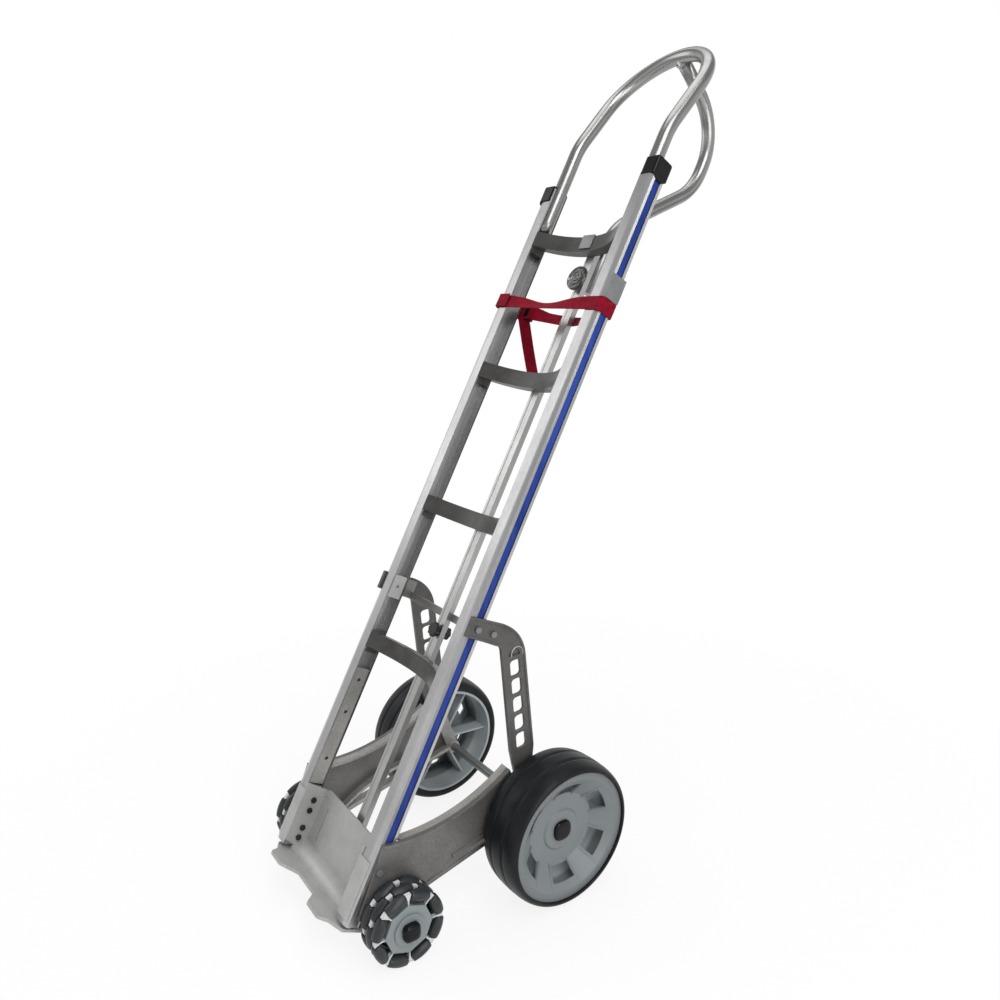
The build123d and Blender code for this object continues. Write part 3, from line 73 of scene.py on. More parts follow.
# Materials
class Nodes:
    """A node tree with a few named steps for building it."""

    def __init__(self, tree):
        self.tree = tree

    def add(self, kind, **values):
        node = self.tree.nodes.new(kind)
        for name, value in values.items():
            node.inputs[name.replace("_", " ")].default_value = value
        return node

    def link(self, source, target):
        self.tree.links.new(source, target)

    def ramp(self, value, stops):
        node = self.add("ShaderNodeValToRGB")
        elements = node.color_ramp.elements
        while len(elements) < len(stops):
            elements.new(1.0)
        for element, (position, colour) in zip(elements, stops):
            element.position = position
            element.color = (*colour, 1)
        self.link(value, node.inputs["Fac"])
        return node.outputs["Color"]

    def levels(self, value, stops):
        """A ramp of greys."""
        return self.ramp(value, [(position, (level, level, level)) for position, level in stops])

    def math(self, operation, first, second=0.0):
        node = self.add("ShaderNodeMath")
        node.operation = operation
        for socket, value in zip(node.inputs, (first, second)):
            if isinstance(value, (int, float)):
                socket.default_value = value
            else:
                self.link(value, socket)
        return node.outputs["Value"]


class Finish(Nodes):
    """A material with one shader."""

    def __init__(self, name, metallic, roughness, specular=0.5):
        self.material = bpy.data.materials.new(name)
        self.material.use_nodes = True
        super().__init__(self.material.node_tree)
        self.shader = self.tree.nodes["Principled BSDF"]
        self.shader.inputs["Metallic"].default_value = metallic
        self.shader.inputs["Roughness"].default_value = roughness
        self.shader.inputs["Specular IOR Level"].default_value = specular

    def place(self, stretch=(1, 1, 1), turn=0.0):
        """The object's coordinates, turned about X and stretched."""
        coords = self.add("ShaderNodeTexCoord")
        mapping = self.add("ShaderNodeMapping", Rotation=(turn, 0, 0), Scale=stretch)
        self.link(coords.outputs["Object"], mapping.inputs["Vector"])
        return mapping.outputs["Vector"]

    def noise(self, vector, scale, detail):
        node = self.add("ShaderNodeTexNoise", Scale=scale, Detail=detail)
        self.link(vector, node.inputs["Vector"])
        return node.outputs["Fac"]

    def spread(self, value, low, high):
        """Turns the middle of a noise value into a range."""
        node = self.add("ShaderNodeMapRange", From_Min=0.3, From_Max=0.7, To_Min=low, To_Max=high)
        self.link(value, node.inputs["Value"])
        return node.outputs["Result"]

    def relief(self, height, strength, edge=0.0):
        """Fine bump, over edges that are rounded off where edge is given."""
        bump = self.add("ShaderNodeBump", Strength=strength, Distance=0.0004)
        self.link(height, bump.inputs["Height"])
        if edge:
            soft = self.add("ShaderNodeBevel", Radius=edge * MM)
            soft.samples = 6
            self.link(soft.outputs["Normal"], bump.inputs["Normal"])
        self.link(bump.outputs["Normal"], self.shader.inputs["Normal"])


def grained(name, dark, light, metallic, roughness, scale, bump, edge=0.0, specular=0.5, drawn=False):
    """Colour, roughness and relief from one noise, drawn out along the rails where that is asked for."""
    finish = Finish(name, metallic, roughness, specular)
    vector = finish.place((1, 1, 0.02), LEAN) if drawn else finish.place()
    fine = finish.noise(vector, scale, 3)
    broad = finish.noise(vector, scale / 12, 2)
    total = finish.math("ADD", finish.math("MULTIPLY", fine, 0.4), finish.math("MULTIPLY", broad, 0.6))
    finish.link(finish.ramp(total, [(0.36, dark), (0.62, light)]), finish.shader.inputs["Base Color"])
    gloss = finish.spread(total, roughness + 0.05, roughness - 0.05)
    finish.link(gloss, finish.shader.inputs["Roughness"])
    finish.relief(fine, bump, edge)
    return finish


def shaded(finish, value, stops):
    """Darkens or lightens the colour by a value of the place on the object."""
    base = finish.shader.inputs["Base Color"]
    product = finish.add("ShaderNodeMixRGB", Fac=1.0)
    product.blend_type = "MULTIPLY"
    finish.link(base.links[0].from_socket, product.inputs["Color1"])
    finish.link(finish.levels(value, stops), product.inputs["Color2"])
    finish.link(product.outputs["Color"], base)


def shaded_rearward(finish, stops):
    """Shade by the place between the front (0) and the rear (1) of the rails."""
    split = finish.add("ShaderNodeSeparateXYZ")
    finish.link(finish.place((1, 1, 1), LEAN), split.inputs["Vector"])
    rearward = finish.math("DIVIDE", split.outputs["Y"], RAIL_D * MM)
    rearward = finish.math("SUBTRACT", rearward, SHIFT_Y * cos(LEAN) / RAIL_D)
    shaded(finish, rearward, stops)
    return finish


def shaded_outward(finish, reach, stops):
    """Shade by the distance from the middle of the trolley, as a part of a reach in millimetres."""
    split = finish.add("ShaderNodeSeparateXYZ")
    finish.link(finish.place(), split.inputs["Vector"])
    outward = finish.math("ABSOLUTE", split.outputs["X"])
    shaded(finish, finish.math("DIVIDE", outward, reach * MM), stops)
    return finish


def railed(name, dark, light, roughness):
    """Drawn metal, with painted shade along the rounded rear edges of the rails and on their inner
    parts.
    """
    finish = grained(name, dark, light, 0.9, roughness, 260, 0.03, 0.5, drawn=True)
    # Painted shade: the rails' inner parts, within 127 mm of the middle, at four fifths of the colour
    shaded_outward(finish, RAIL_OUT, [(0.9, 0.8), (0.95, 1.0)])
    # Painted shade: the rounded rear edges at a fifth of the colour
    return shaded_rearward(finish, [(0.88, 1.0), (0.92, 0.2), (0.985, 0.2), (0.995, 1.0)])


def cast(name, dark, light):
    """Cast metal: lighter between the rails, darker on the arms beside them and darker again on the
    upper arms.
    """
    finish = grained(name, dark, light, 0.5, 0.4, 220, 0.2, 1.2)
    split = finish.add("ShaderNodeSeparateXYZ")
    finish.link(finish.place(), split.inputs["Vector"])
    shaded(finish, split.outputs["Z"], [(0.25, 1.0), (0.4, 0.62)])
    shaded_outward(finish, RAIL_OUT, [(0.98, 1.0), (0.995, 0.42)])
    return finish


def turned(name, centre_y, centre_z, radius, stops, roughness, edge):
    """Moulded wheel, coloured by the distance from its axle as a part of the radius."""
    finish = Finish(name, 0.0, roughness)
    vector = finish.place()
    split = finish.add("ShaderNodeSeparateXYZ")
    finish.link(vector, split.inputs["Vector"])
    y = finish.math("SUBTRACT", split.outputs["Y"], (SHIFT_Y + centre_y) * MM)
    z = finish.math("SUBTRACT", split.outputs["Z"], centre_z * MM)
    square = finish.math("ADD", finish.math("MULTIPLY", y, y), finish.math("MULTIPLY", z, z))
    reach = finish.math("DIVIDE", finish.math("SQRT", square), radius * MM)
    fine = finish.noise(vector, 500, 3)
    shade = finish.math("ADD", reach, finish.math("MULTIPLY", fine, 0.03))
    finish.link(finish.ramp(shade, stops), finish.shader.inputs["Base Color"])
    finish.relief(fine, 0.06, edge)
    return finish


RIB_PITCH = 1.6
PICK_PITCH = 2.2


def webbing(name):
    """Woven strap: fine ribs along and across, with broader wear."""
    finish = Finish(name, 0.0, 0.7, 0.12)
    coords = finish.add("ShaderNodeTexCoord")
    split = finish.add("ShaderNodeSeparateXYZ")
    finish.link(coords.outputs["UV"], split.inputs["Vector"])
    ribs = finish.math("SINE", finish.math("MULTIPLY", split.outputs["X"], 2 * pi / (RIB_PITCH * MM)))
    picks = finish.math("SINE", finish.math("MULTIPLY", split.outputs["Y"], 2 * pi / (PICK_PITCH * MM)))
    weave = finish.math("MULTIPLY", ribs, picks)
    broad = finish.noise(coords.outputs["UV"], 90, 3)
    shade = finish.math("ADD", finish.math("MULTIPLY", weave, 0.12), broad)
    stops = [(0.3, (0.14, 0.0005, 0.008)), (0.7, (0.26, 0.001, 0.016))]
    finish.link(finish.ramp(shade, stops), finish.shader.inputs["Base Color"])
    finish.relief(weave, 0.35)
    return finish


HUB_PAINTED_LIGHT_REACH = 250.0
HUB_STOPS = [(0.0, (0.42, 0.465, 0.485)), (0.79, (0.44, 0.485, 0.505)), (0.82, (0.38, 0.415, 0.43))]
OMNI_STOPS = [(0.3, (0.2, 0.225, 0.235)), (0.66, (0.22, 0.245, 0.255)), (0.72, (0.62, 0.63, 0.63))]
GRAINED = {
    "bar_aluminium": dict(dark=(0.38, 0.38, 0.375), light=(0.46, 0.46, 0.455), metallic=0.9,
                          roughness=0.3, scale=260, bump=0.03, edge=0.5, drawn=True),
    "tube_aluminium": dict(dark=(0.25, 0.25, 0.246), light=(0.31, 0.31, 0.306), metallic=0.95,
                           roughness=0.27, scale=30, bump=0.0),
    "nose_aluminium": dict(dark=(0.38, 0.38, 0.375), light=(0.45, 0.45, 0.445), metallic=0.3,
                           roughness=0.45, scale=300, bump=0.06, edge=1.2),
    "brace_coat": dict(dark=(0.036, 0.035, 0.033), light=(0.06, 0.058, 0.056), metallic=0.0,
                       roughness=0.36, scale=500, bump=0.08, edge=0.8, specular=0.35),
    "black_plastic": dict(dark=(0.003, 0.003, 0.003), light=(0.007, 0.007, 0.007), metallic=0.0,
                          roughness=0.22, scale=600, bump=0.05, edge=1.2, specular=0.18),
    "tyre_rubber": dict(dark=(0.006, 0.0075, 0.0085), light=(0.013, 0.015, 0.0165), metallic=0.0,
                        roughness=0.4, scale=400, bump=0.08, specular=0.16),
    "roller_rubber": dict(dark=(0.016, 0.019, 0.021), light=(0.03, 0.035, 0.038), metallic=0.0,
                          roughness=0.36, scale=400, bump=0.08, specular=0.35),
    "steel": dict(dark=(0.18, 0.185, 0.19), light=(0.25, 0.255, 0.26), metallic=0.7,
                  roughness=0.4, scale=300, bump=0.05, edge=0.6),
    "dark_steel": dict(dark=(0.02, 0.02, 0.021), light=(0.04, 0.04, 0.041), metallic=0.4,
                       roughness=0.36, scale=300, bump=0.05, edge=0.5, specular=0.3),
    "knob_metal": dict(dark=(0.05, 0.05, 0.048), light=(0.16, 0.16, 0.155), metallic=0.9,
                       roughness=0.2, scale=200, bump=0.05),
    "knob_plastic": dict(dark=(0.006, 0.006, 0.006), light=(0.016, 0.016, 0.016), metallic=0.0,
                         roughness=0.26, scale=500, bump=0.08, edge=0.8, specular=0.35),
    "blue_strip": dict(dark=(0.012, 0.03, 0.17), light=(0.028, 0.06, 0.29), metallic=0.0,
                       roughness=0.3, scale=120, bump=0.02, specular=0.12, drawn=True),
    # Paler metal of the recess rims: painted highlight along the recess edges
    "recess_edge_highlight": dict(dark=(0.34, 0.335, 0.325), light=(0.46, 0.455, 0.44), metallic=0.6,
                      roughness=0.35, scale=220, bump=0.1),
    "rail_ridges": dict(dark=(0.3, 0.305, 0.31), light=(0.38, 0.385, 0.39), metallic=0.7,
                        roughness=0.4, scale=260, bump=0.03, drawn=True),
}
finishes = {name: grained(name, **look) for name, look in GRAINED.items()}
finishes["rail_aluminium"] = railed("rail_aluminium", (0.44, 0.44, 0.44), (0.52, 0.52, 0.525), 0.3)
finishes["cast_aluminium"] = cast("cast_aluminium", (0.28, 0.27, 0.255), (0.42, 0.405, 0.385))
finishes["grey_plastic"] = turned("grey_plastic", WHEEL_Y, WHEEL_R, WHEEL_R, HUB_STOPS, 0.42, 1.0)
finishes["pale_plastic"] = turned("pale_plastic", OMNI_Y, OMNI_R, OMNI_R, OMNI_STOPS, 0.4, 0.6)
finishes["strap_fabric"] = webbing("strap_fabric")
# Painted light: hub surfaces within 192 mm of the middle, inside the windows and on the inner sides,
# stay two and a half times as bright as the outer faces beyond 200 mm
shaded_outward(finishes["grey_plastic"], HUB_PAINTED_LIGHT_REACH, [(0.768, 1.0), (0.8, 0.4)])
# Painted shade: the blue strips darken towards both edges of their recess, where the groove casts shade
shaded_rearward(finishes["blue_strip"], [(0.3, 0.4), (0.35, 1.0), (0.63, 1.0), (0.68, 0.25)])


# Shapes
def mesh_piece(name, points, faces, smooth=True):
    mesh = bpy.data.meshes.new(name)
    mesh.from_pydata([tuple(p) for p in points], [], faces)
    mesh.validate()
    piece = bpy.data.objects.new(name, mesh)
    bpy.context.scene.collection.objects.link(piece)
    for polygon in mesh.polygons:
        polygon.use_smooth = smooth
    return piece


def bevelled(piece, width, segments=2):
    bevel = piece.modifiers.new("edges", "BEVEL")
    bevel.width = width
    bevel.segments = segments
    bevel.limit_method = "ANGLE"
    bevel.angle_limit = radians(35)
    bevel.harden_normals = True
    return piece


def looped(rings, closed):
    """Points and faces between rings of equal length; closed joins the last ring to the first."""
    count = len(rings[0])
    points = [point for ring in rings for point in ring]
    faces = []
    for k in range(len(rings) if closed else len(rings) - 1):
        near = k * count
        far = (k + 1) % len(rings) * count
        for i in range(count):
            j = (i + 1) % count
            faces.append((near + i, near + j, far + j, far + i))
    if not closed:
        faces.append(tuple(reversed(range(count))))
        faces.append(tuple(range(len(points) - count, len(points))))
    return points, faces


def lathe(profile, place, steps):
    """A closed profile (along, radius) in millimetres turned about a place's X axis."""
    rings = []
    for k in range(steps):
        turn = 2 * pi * k / steps
        rings.append([place @ (Vector((a, r * cos(turn), r * sin(turn))) * MM) for a, r in profile])
    return looped(rings, True)


def joined(meshes):
    points = []
    faces = []
    for more_points, more_faces in meshes:
        start = len(points)
        points += more_points
        faces += [tuple(start + i for i in face) for face in more_faces]
    return points, faces


def ribbon(name, rows, width, thickness):
    """A flat strap along rows of (middle, direction of its width, face normal), UV in metres."""
    corners = ((-1, -1), (1, -1), (1, 1), (-1, 1))
    rings = []
    for middle, across, normal in rows:
        half = across * (width / 2)
        depth = normal * (thickness / 2)
        rings.append([middle + half * a + depth * b for a, b in corners])
    piece = mesh_piece(name, *looped(rings, False))
    lengths = [0.0]
    for (before, _, _), (after, _, _) in zip(rows, rows[1:]):
        lengths.append(lengths[-1] + (after - before).length)
    layer = piece.data.uv_layers.new(name="cloth")
    for loop in piece.data.loops:
        row, corner = divmod(loop.vertex_index, 4)
        layer.data[loop.index].uv = ((corners[corner][0] + 1) * width / 2, lengths[row])
    return bevelled(piece, thickness * 0.4, 1)


def block(origin, axes, lows, highs):
    """Points and faces of a box along three axes, in millimetres from its origin."""
    rings = []
    for a in (lows[0], highs[0]):
        ring = []
        for b, c in ((lows[1], lows[2]), (highs[1], lows[2]), (highs[1], highs[2]), (lows[1], highs[2])):
            ring.append(origin + (axes[0] * a + axes[1] * b + axes[2] * c) * MM)
        rings.append(ring)
    return looped(rings, False)


def facing(axis, second, middle):
    """Place whose X axis is the first direction and whose Y axis is the second."""
    place = Matrix((axis, second, axis.cross(second))).transposed().to_4x4()
    place.translation = middle
    return place


def dress(piece, body, slot, *replaced, finish=None):
    """Body, slot and replaced CAD nodes of a piece; its finish is the slot's unless one is named."""
    piece.data.materials.clear()
    piece.data.materials.append(finishes[finish or slot].material)
    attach(piece, body)
    if replaced:
        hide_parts(*replaced)


# Omnidirectional wheels: smooth barrel rollers
OMNI_MID = 174.0
ROW_PITCH = 17.0
ROLLERS = 8
ROLLER_AXIS_R = 52.9
ROLLER_HALF = 17.0
ROLLER_END = 1.8
BARREL_STEPS = 28
FLOOR_ROLLER = (1, 7)


def barrel_profile():
    """Crowned roller with rounded ends and a dimple where its pin goes in."""
    crown = ROLLER_HALF - ROLLER_END
    end_r = sqrt(OMNI_R**2 - crown**2) - ROLLER_AXIS_R
    end = [(-ROLLER_HALF + 1.0, 1.6), (-ROLLER_HALF + 0.4, 3.0), (-ROLLER_HALF, 4.4)]
    for k in range(4):
        turn = pi / 2 * k / 3
        end.append((-crown - ROLLER_END * cos(turn), end_r - ROLLER_END + ROLLER_END * sin(turn)))
    body = []
    for k in range(1, 12):
        x = -crown + 2 * crown * k / 12
        body.append((x, sqrt(OMNI_R**2 - x**2) - ROLLER_AXIS_R))
    return end + body + [(-x, r) for x, r in reversed(end)]


def roller_place(side, row, k):
    first = 22.5 if row == 1 else 0.0
    turn = radians(first + 360 / ROLLERS * (k + 0.5) - 90)
    outward = Vector((0, cos(turn), sin(turn)))
    tangent = Vector((0, -sin(turn), cos(turn)))
    axle = on_axle(side * (OMNI_MID + (row - 1) * ROW_PITCH), OMNI_Y, OMNI_R)
    return facing(tangent, outward, axle + outward * ROLLER_AXIS_R * MM)


for hand, side in SIDES.items():
    carried = []
    for row in range(3):
        for k in range(ROLLERS):
            roller = lathe(barrel_profile(), roller_place(side, row, k), BARREL_STEPS)
            if (row, k) == FLOOR_ROLLER:
                piece = mesh_piece(f"{hand}_floor_roller_skin", *roller)
                dress(piece, f"{hand}_contact_roller", "roller_rubber", f"{hand}_omni_contact_roller")
            else:
                carried.append(roller)
    piece = mesh_piece(f"{hand}_roller_skins", *joined(carried))
    dress(piece, f"{hand}_omni_wheel", "roller_rubber", f"{hand}_omni_rollers")


# End caps of the axles, squarish with a domed front
CAP_SECTIONS = (
    (0.0, 1.0), (0.45, 1.0), (0.72, 0.97), (0.88, 0.88),
    (0.97, 0.74), (1.0, 0.55), (1.0, 0.25),
)  # part of the height, part of the radius


def squarish_cap(side, y, z, seat, height, radius, power, steps=48):
    """Rounded square, drawn in towards its front; the last rings close the front."""
    rings = []
    for depth, part in CAP_SECTIONS:
        ring = []
        for k in range(steps):
            turn = 2 * pi * k / steps
            reach = radius * part / (abs(cos(turn)) ** power + abs(sin(turn)) ** power) ** (1 / power)
            x = side * (seat + height * depth)
            ring.append(on_axle(x, y + reach * cos(turn), z + reach * sin(turn)))
        rings.append(ring)
    return looped(rings, False)


for name, y, z, seat, height, radius, power, node in (
    ("omni_cap_skins", OMNI_Y, OMNI_R, 197.9, 11.0, 14.2, 3.6, "omni_caps"),
    ("axle_cap_skins", WHEEL_Y, WHEEL_R, 210.4, 6.0, 17.2, 2.8, "axle_caps"),
):
    caps = [squarish_cap(side, y, z, seat, height, radius, power) for side in SIDES.values()]
    dress(mesh_piece(name, *joined(caps)), "frame", "black_plastic", node)

# Rear tyres with rounded shoulders and two soft grooves
TYRE_MID = 196.0
TYRE_HALF = 44.5
TYRE_EDGE_R = 114.3
TYRE_SEAT_R = 106.0
TYRE_POWER = 2.6
GROOVE_AT = 15.0
GROOVE_W = 2.6
GROOVE_D = 2.0
TYRE_STEPS = 144


def tread_radius(t):
    """Radius of the tyre's outside at t from the middle (0) to a side (1 or -1)."""
    swell = (1 - abs(t) ** TYRE_POWER) ** (1 / TYRE_POWER)
    across = t * TYRE_HALF
    grooves = sum(exp(-(((across - at) / GROOVE_W) ** 2)) for at in (-GROOVE_AT, GROOVE_AT))
    return TYRE_EDGE_R + (WHEEL_R - TYRE_EDGE_R) * swell - GROOVE_D * grooves


def tyre_profile():
    steps = 72
    outside = []
    for k in range(steps + 1):
        t = -cos(pi * k / steps)
        outside.append((TYRE_MID + TYRE_HALF * t, tread_radius(t)))
    lip = [(237.5, TYRE_EDGE_R - 0.2), (231.0, TYRE_EDGE_R - 0.2), (231.0, TYRE_SEAT_R)]
    return outside + lip + [(TYRE_MID - TYRE_HALF, TYRE_SEAT_R)]


for hand, side in SIDES.items():
    place = Matrix.Translation(on_axle(0, WHEEL_Y, WHEEL_R)) @ Matrix.Diagonal((side, 1, 1, 1))
    piece = mesh_piece(f"{hand}_tyre_skin", *lathe(tyre_profile(), place, TYRE_STEPS))
    dress(piece, f"{hand}_rear_wheel", "tyre_rubber", f"{hand}_rear_tyre")

# Fine ridges along the lips beside the coloured strips
RIDGE_LOW = 209.0
RIDGE_HIGH = 1360.0
RIDGE_H = 0.5
RIDGE_START = 3.9
RIDGE_END = 9.3
RIDGES = 5
for hand, side in SIDES.items():
    rings = []
    for s in (RIDGE_LOW, RIDGE_HIGH):
        ring = [in_frame(side * (RAIL_OUT - RIDGE_H), RIDGE_START, s)]
        for k in range(2 * RIDGES + 1):
            v = RIDGE_START + (RIDGE_END - RIDGE_START) * k / (2 * RIDGES)
            ring.append(in_frame(side * (RAIL_OUT + RIDGE_H * (k % 2)), v, s))
        ring.append(in_frame(side * (RAIL_OUT - RIDGE_H), RIDGE_END, s))
        rings.append(ring)
    ridges = mesh_piece(f"{hand}_rail_ridges", *looped(rings, False), smooth=False)
    dress(ridges, "frame", "rail_aluminium", finish="rail_ridges")

# Rims over the recesses in the upper arms: a real edge bead, in a paler metal that paints the highlight
# along it
RIM_Y = 355.5
RIM_Z = 436.0
RIM_R = 11.8
RIM_LEG = 6.0
RIM_BEAD = 1.1
ARM_FACE = 146.0


def rim_rings(side, steps=20, around=8):
    """An arch with two short legs that thin out towards their ends."""
    path = [(RIM_R, -RIM_LEG * (1 - k / 4), 0.3 + 0.7 * k / 4) for k in range(4)]
    path += [(RIM_R * cos(pi * k / steps), RIM_R * sin(pi * k / steps), 1.0) for k in range(steps + 1)]
    path += [(-RIM_R, -RIM_LEG * k / 4, 1.0 - 0.7 * k / 4) for k in range(1, 5)]
    rings = []
    for y, z, part in path:
        out = Vector((0, y, max(z, 0))).normalized()
        middle = on_axle(side * ARM_FACE, RIM_Y + y, RIM_Z + z)
        swing = [2 * pi * i / around for i in range(around)]
        rings.append([middle + (out * cos(a) + ACROSS * sin(a)) * RIM_BEAD * part * MM for a in swing])
    return rings


rims = [looped(rim_rings(side), False) for side in SIDES.values()]
dress(mesh_piece("arm_recess_rims", *joined(rims)), "frame", "cast_aluminium", finish="recess_edge_highlight")

# Upper clamp knob: a turned disc with rings, on its neck and stud
KNOB_S = 1198.0
KNOB_PROFILE = [
    (101.4, 0.4), (101.4, 4.0), (53.6, 4.0), (53.6, 9.0), (47.0, 9.0),
    (47.0, 21.0), (45.6, 22.8), (42.4, 22.8), (40.0, 21.4), (39.4, 19.0),
    (41.6, 17.0), (41.6, 14.6), (39.2, 13.4), (39.2, 11.0), (41.2, 9.8), (41.2, 7.6),
    (39.0, 6.4), (39.0, 3.8), (40.8, 2.8), (40.8, 0.4),
]
place = facing(REARWARD, ACROSS, in_frame(0, 0, KNOB_S))
knob = mesh_piece("upper_knob_disc", *lathe(KNOB_PROFILE, place, 64))
dress(bevelled(knob, 0.4 * MM), "upper_knob", "knob_metal", "upper_knob")

# Handle: smooth tubes along the arch and along the rear loop
TUBE_R = 12.7
TUBE_SIDES = 40
LEG_X = 114.0
LEG_LOW = 1279.0
LEG_BEND_S = 1438.0
LEG_BEND_R = 150.0
LEG_TILT = radians(15)
LEG_RISE = 81.0
LOOP_BACK = 222.0
LOOP_HIGH = 1618.0
LOOP_LOW = 1485.0
LOOP_FOOT_BEND = 1316.0
LOOP_FOOT = 1186.0
LOOP_V = 77.7
LOOP_BEND_R = 110.0
BEAD_R = 2.6
LEG_V = RAIL_D / 2
TILTED_V = LEG_V + LEG_BEND_R * (1 - cos(LEG_TILT))
TILTED_S = LEG_BEND_S + LEG_BEND_R * sin(LEG_TILT)
APEX_V = TILTED_V + (LEG_RISE + LEG_X) * sin(LEG_TILT)
APEX_S = TILTED_S + (LEG_RISE + LEG_X) * cos(LEG_TILT)


def arch_path():
    """Right leg, bend, arch, bend and left leg."""
    leg = [(LEG_X, LEG_V, LEG_LOW + (LEG_BEND_S - LEG_LOW) * k / 8) for k in range(8)]
    for k in range(9):
        turn = LEG_TILT * k / 8
        leg.append((LEG_X, LEG_V + LEG_BEND_R * (1 - cos(turn)), LEG_BEND_S + LEG_BEND_R * sin(turn)))
    steps = 48
    arch = []
    for k in range(steps + 1):
        turn = pi * k / steps
        up = LEG_RISE + LEG_X * sin(turn)
        arch.append((-LEG_X * cos(turn), TILTED_V + up * sin(LEG_TILT), TILTED_S + up * cos(LEG_TILT)))
    return [(-x, v, s) for x, v, s in leg] + arch + list(reversed(leg))


def rounded(corners, radius, steps=12):
    """Points along straight lines with round corners, in one plane."""
    path = [Vector(corners[0])]
    for before, corner, after in zip(corners, corners[1:], corners[2:]):
        into = (Vector(corner) - Vector(before)).normalized()
        away = (Vector(after) - Vector(corner)).normalized()
        turn = into.angle_signed(away)
        start = Vector(corner) - into * radius * tan(abs(turn) / 2)
        inward = Vector((into.y, -into.x)) * (1 if turn > 0 else -1)
        for k in range(steps + 1):
            part = abs(turn) * k / steps
            path.append(start + into * radius * sin(part) + inward * radius * (1 - cos(part)))
    return path + [Vector(corners[-1])]


def tube(path, reference):
    """Round tube along points in metres; the reference is never along the path."""
    rings = []
    for k, point in enumerate(path):
        tangent = path[min(k + 1, len(path) - 1)] - path[max(k - 1, 0)]
        first = tangent.cross(reference).normalized()
        second = first.cross(tangent).normalized()
        ring = []
        for i in range(TUBE_SIDES):
            turn = 2 * pi * i / TUBE_SIDES
            ring.append(point + (first * cos(turn) + second * sin(turn)) * TUBE_R * MM)
        rings.append(ring)
    return looped(rings, False)


LOOP_CORNERS = [
    (APEX_V, APEX_S),
    (LOOP_BACK, LOOP_HIGH),
    (LOOP_BACK, LOOP_LOW),
    (LOOP_V, LOOP_FOOT_BEND),
    (LOOP_V, LOOP_FOOT),
]
arch = tube([in_frame(x, v, s) for x, v, s in arch_path()], REARWARD)
dress(mesh_piece("handle_skin", *arch), "frame", "tube_aluminium", "handle_loop")
loop = tube([in_frame(0, v, s) for v, s in rounded(LOOP_CORNERS, LOOP_BEND_R)], ACROSS)
dress(mesh_piece("rear_loop_skin", *loop), "frame", "tube_aluminium", "handle_rear_loop")


def weld_rings(steps=64, around=8):
    """Bead along the line where two tubes of the same size meet at a right angle."""
    forth = (REARWARD * (LOOP_BACK - APEX_V) + ALONG * (LOOP_HIGH - APEX_S)).normalized()
    third = forth.cross(ACROSS)
    rings = []
    for k in range(steps):
        turn = 2 * pi * k / steps
        out = ACROSS * cos(turn) + third * sin(turn)
        seam = in_frame(0, APEX_V, APEX_S) + (out + forth * abs(sin(turn))) * TUBE_R * MM
        swing = [2 * pi * i / around for i in range(around)]
        rings.append([seam + (out * cos(a) + forth * sin(a)) * BEAD_R * MM for a in swing])
    return rings


dress(mesh_piece("loop_weld", *looped(weld_rings(), True)), "frame", "tube_aluminium")

# Strap: round both rails, leaning back between them
STRAP_W = 25.0
STRAP_T = 1.6
STRAP_S = 1127.5
STRAP_SLOPE = atan2(7.0, 2 * RAIL_OUT)
STRAP_DIR = ACROSS * cos(STRAP_SLOPE) - ALONG * sin(STRAP_SLOPE)
STRAP_UP = STRAP_DIR.cross(REARWARD)
STRAP_SIDE = 143.0
STRAP_FRONT = -1.2
STRAP_REAR = 34.2
STRAP_BACK = 66.2
STRAP_BEND = 12.0
CORNER = 4.0
FRONT_LEAN = radians(43)
FRONT_LEAN_AT = -20.0
FRONT_REACH_RIGHT = 60.0
FRONT_REACH_LEFT = 84.0
REAR_LEAN = radians(25)
LAP = 1.7  # how far the second layer lies outside the first
LAP_DROP = -1.5


def strap_row(u, v, tangent_u, tangent_v, tilt=0.0, drop=0.0):
    """A row of the strap at u across and v rearward; tilt leans it back about its lower edge."""
    up = STRAP_UP * cos(tilt) + REARWARD * sin(tilt)
    tangent = (STRAP_DIR * tangent_u + REARWARD * tangent_v).normalized()
    low = in_frame(0, 0, STRAP_S) + (STRAP_DIR * u + REARWARD * v - STRAP_UP * (STRAP_W / 2 + drop)) * MM
    return low + up * (STRAP_W / 2 * MM), up, tangent.cross(up).normalized()


def corner_rows(u, v, start, end, radius=CORNER, drop=0.0, steps=6):
    """Rows round a corner, whose middle is at u and v, between two directions in degrees."""
    rows = []
    for k in range(steps + 1):
        turn = radians(start + (end - start) * k / steps)
        at_u = u + radius * cos(turn)
        at_v = v + radius * sin(turn)
        rows.append(strap_row(at_u, at_v, sin(turn), -cos(turn), 0.0, drop))
    return rows


def smooth_step(value, start, end):
    t = min(1.0, max(0.0, (value - start) / (end - start)))
    return t * t * (3 - 2 * t)


def strap_rows():
    inner = STRAP_SIDE - CORNER
    rows = corner_rows(inner, STRAP_REAR - CORNER, 76, 0)
    rows += corner_rows(inner, STRAP_FRONT + CORNER, 0, -90)
    steps = 56
    for k in range(1, steps):
        u = inner - 2 * inner * k / steps
        reach = FRONT_REACH_RIGHT if u < FRONT_LEAN_AT else FRONT_REACH_LEFT
        lean = FRONT_LEAN * exp(-(((u - FRONT_LEAN_AT) / reach) ** 2))
        rows.append(strap_row(u, STRAP_FRONT, -1, 0, lean))
    rows += corner_rows(-inner, STRAP_FRONT + CORNER, -90, -180)
    rows += corner_rows(-inner, STRAP_REAR - CORNER, -180, -256)
    behind = STRAP_REAR - 0.1
    left = [(STRAP_BEND, STRAP_BACK), (inner + 1, behind)]
    back = [(-u, v) for u, v in reversed(left)] + left
    for (u0, v0), (u1, v1) in zip(back, back[1:]):
        for k in range(1, 20):
            u = u0 + (u1 - u0) * k / 20
            v = v0 + (v1 - v0) * k / 20
            lean = REAR_LEAN * smooth_step(u, -88, -60) * smooth_step(u, 130, 60)
            rows.append(strap_row(u, v, u1 - u0, v1 - v0, lean))
    rows.append(rows[0])
    return rows


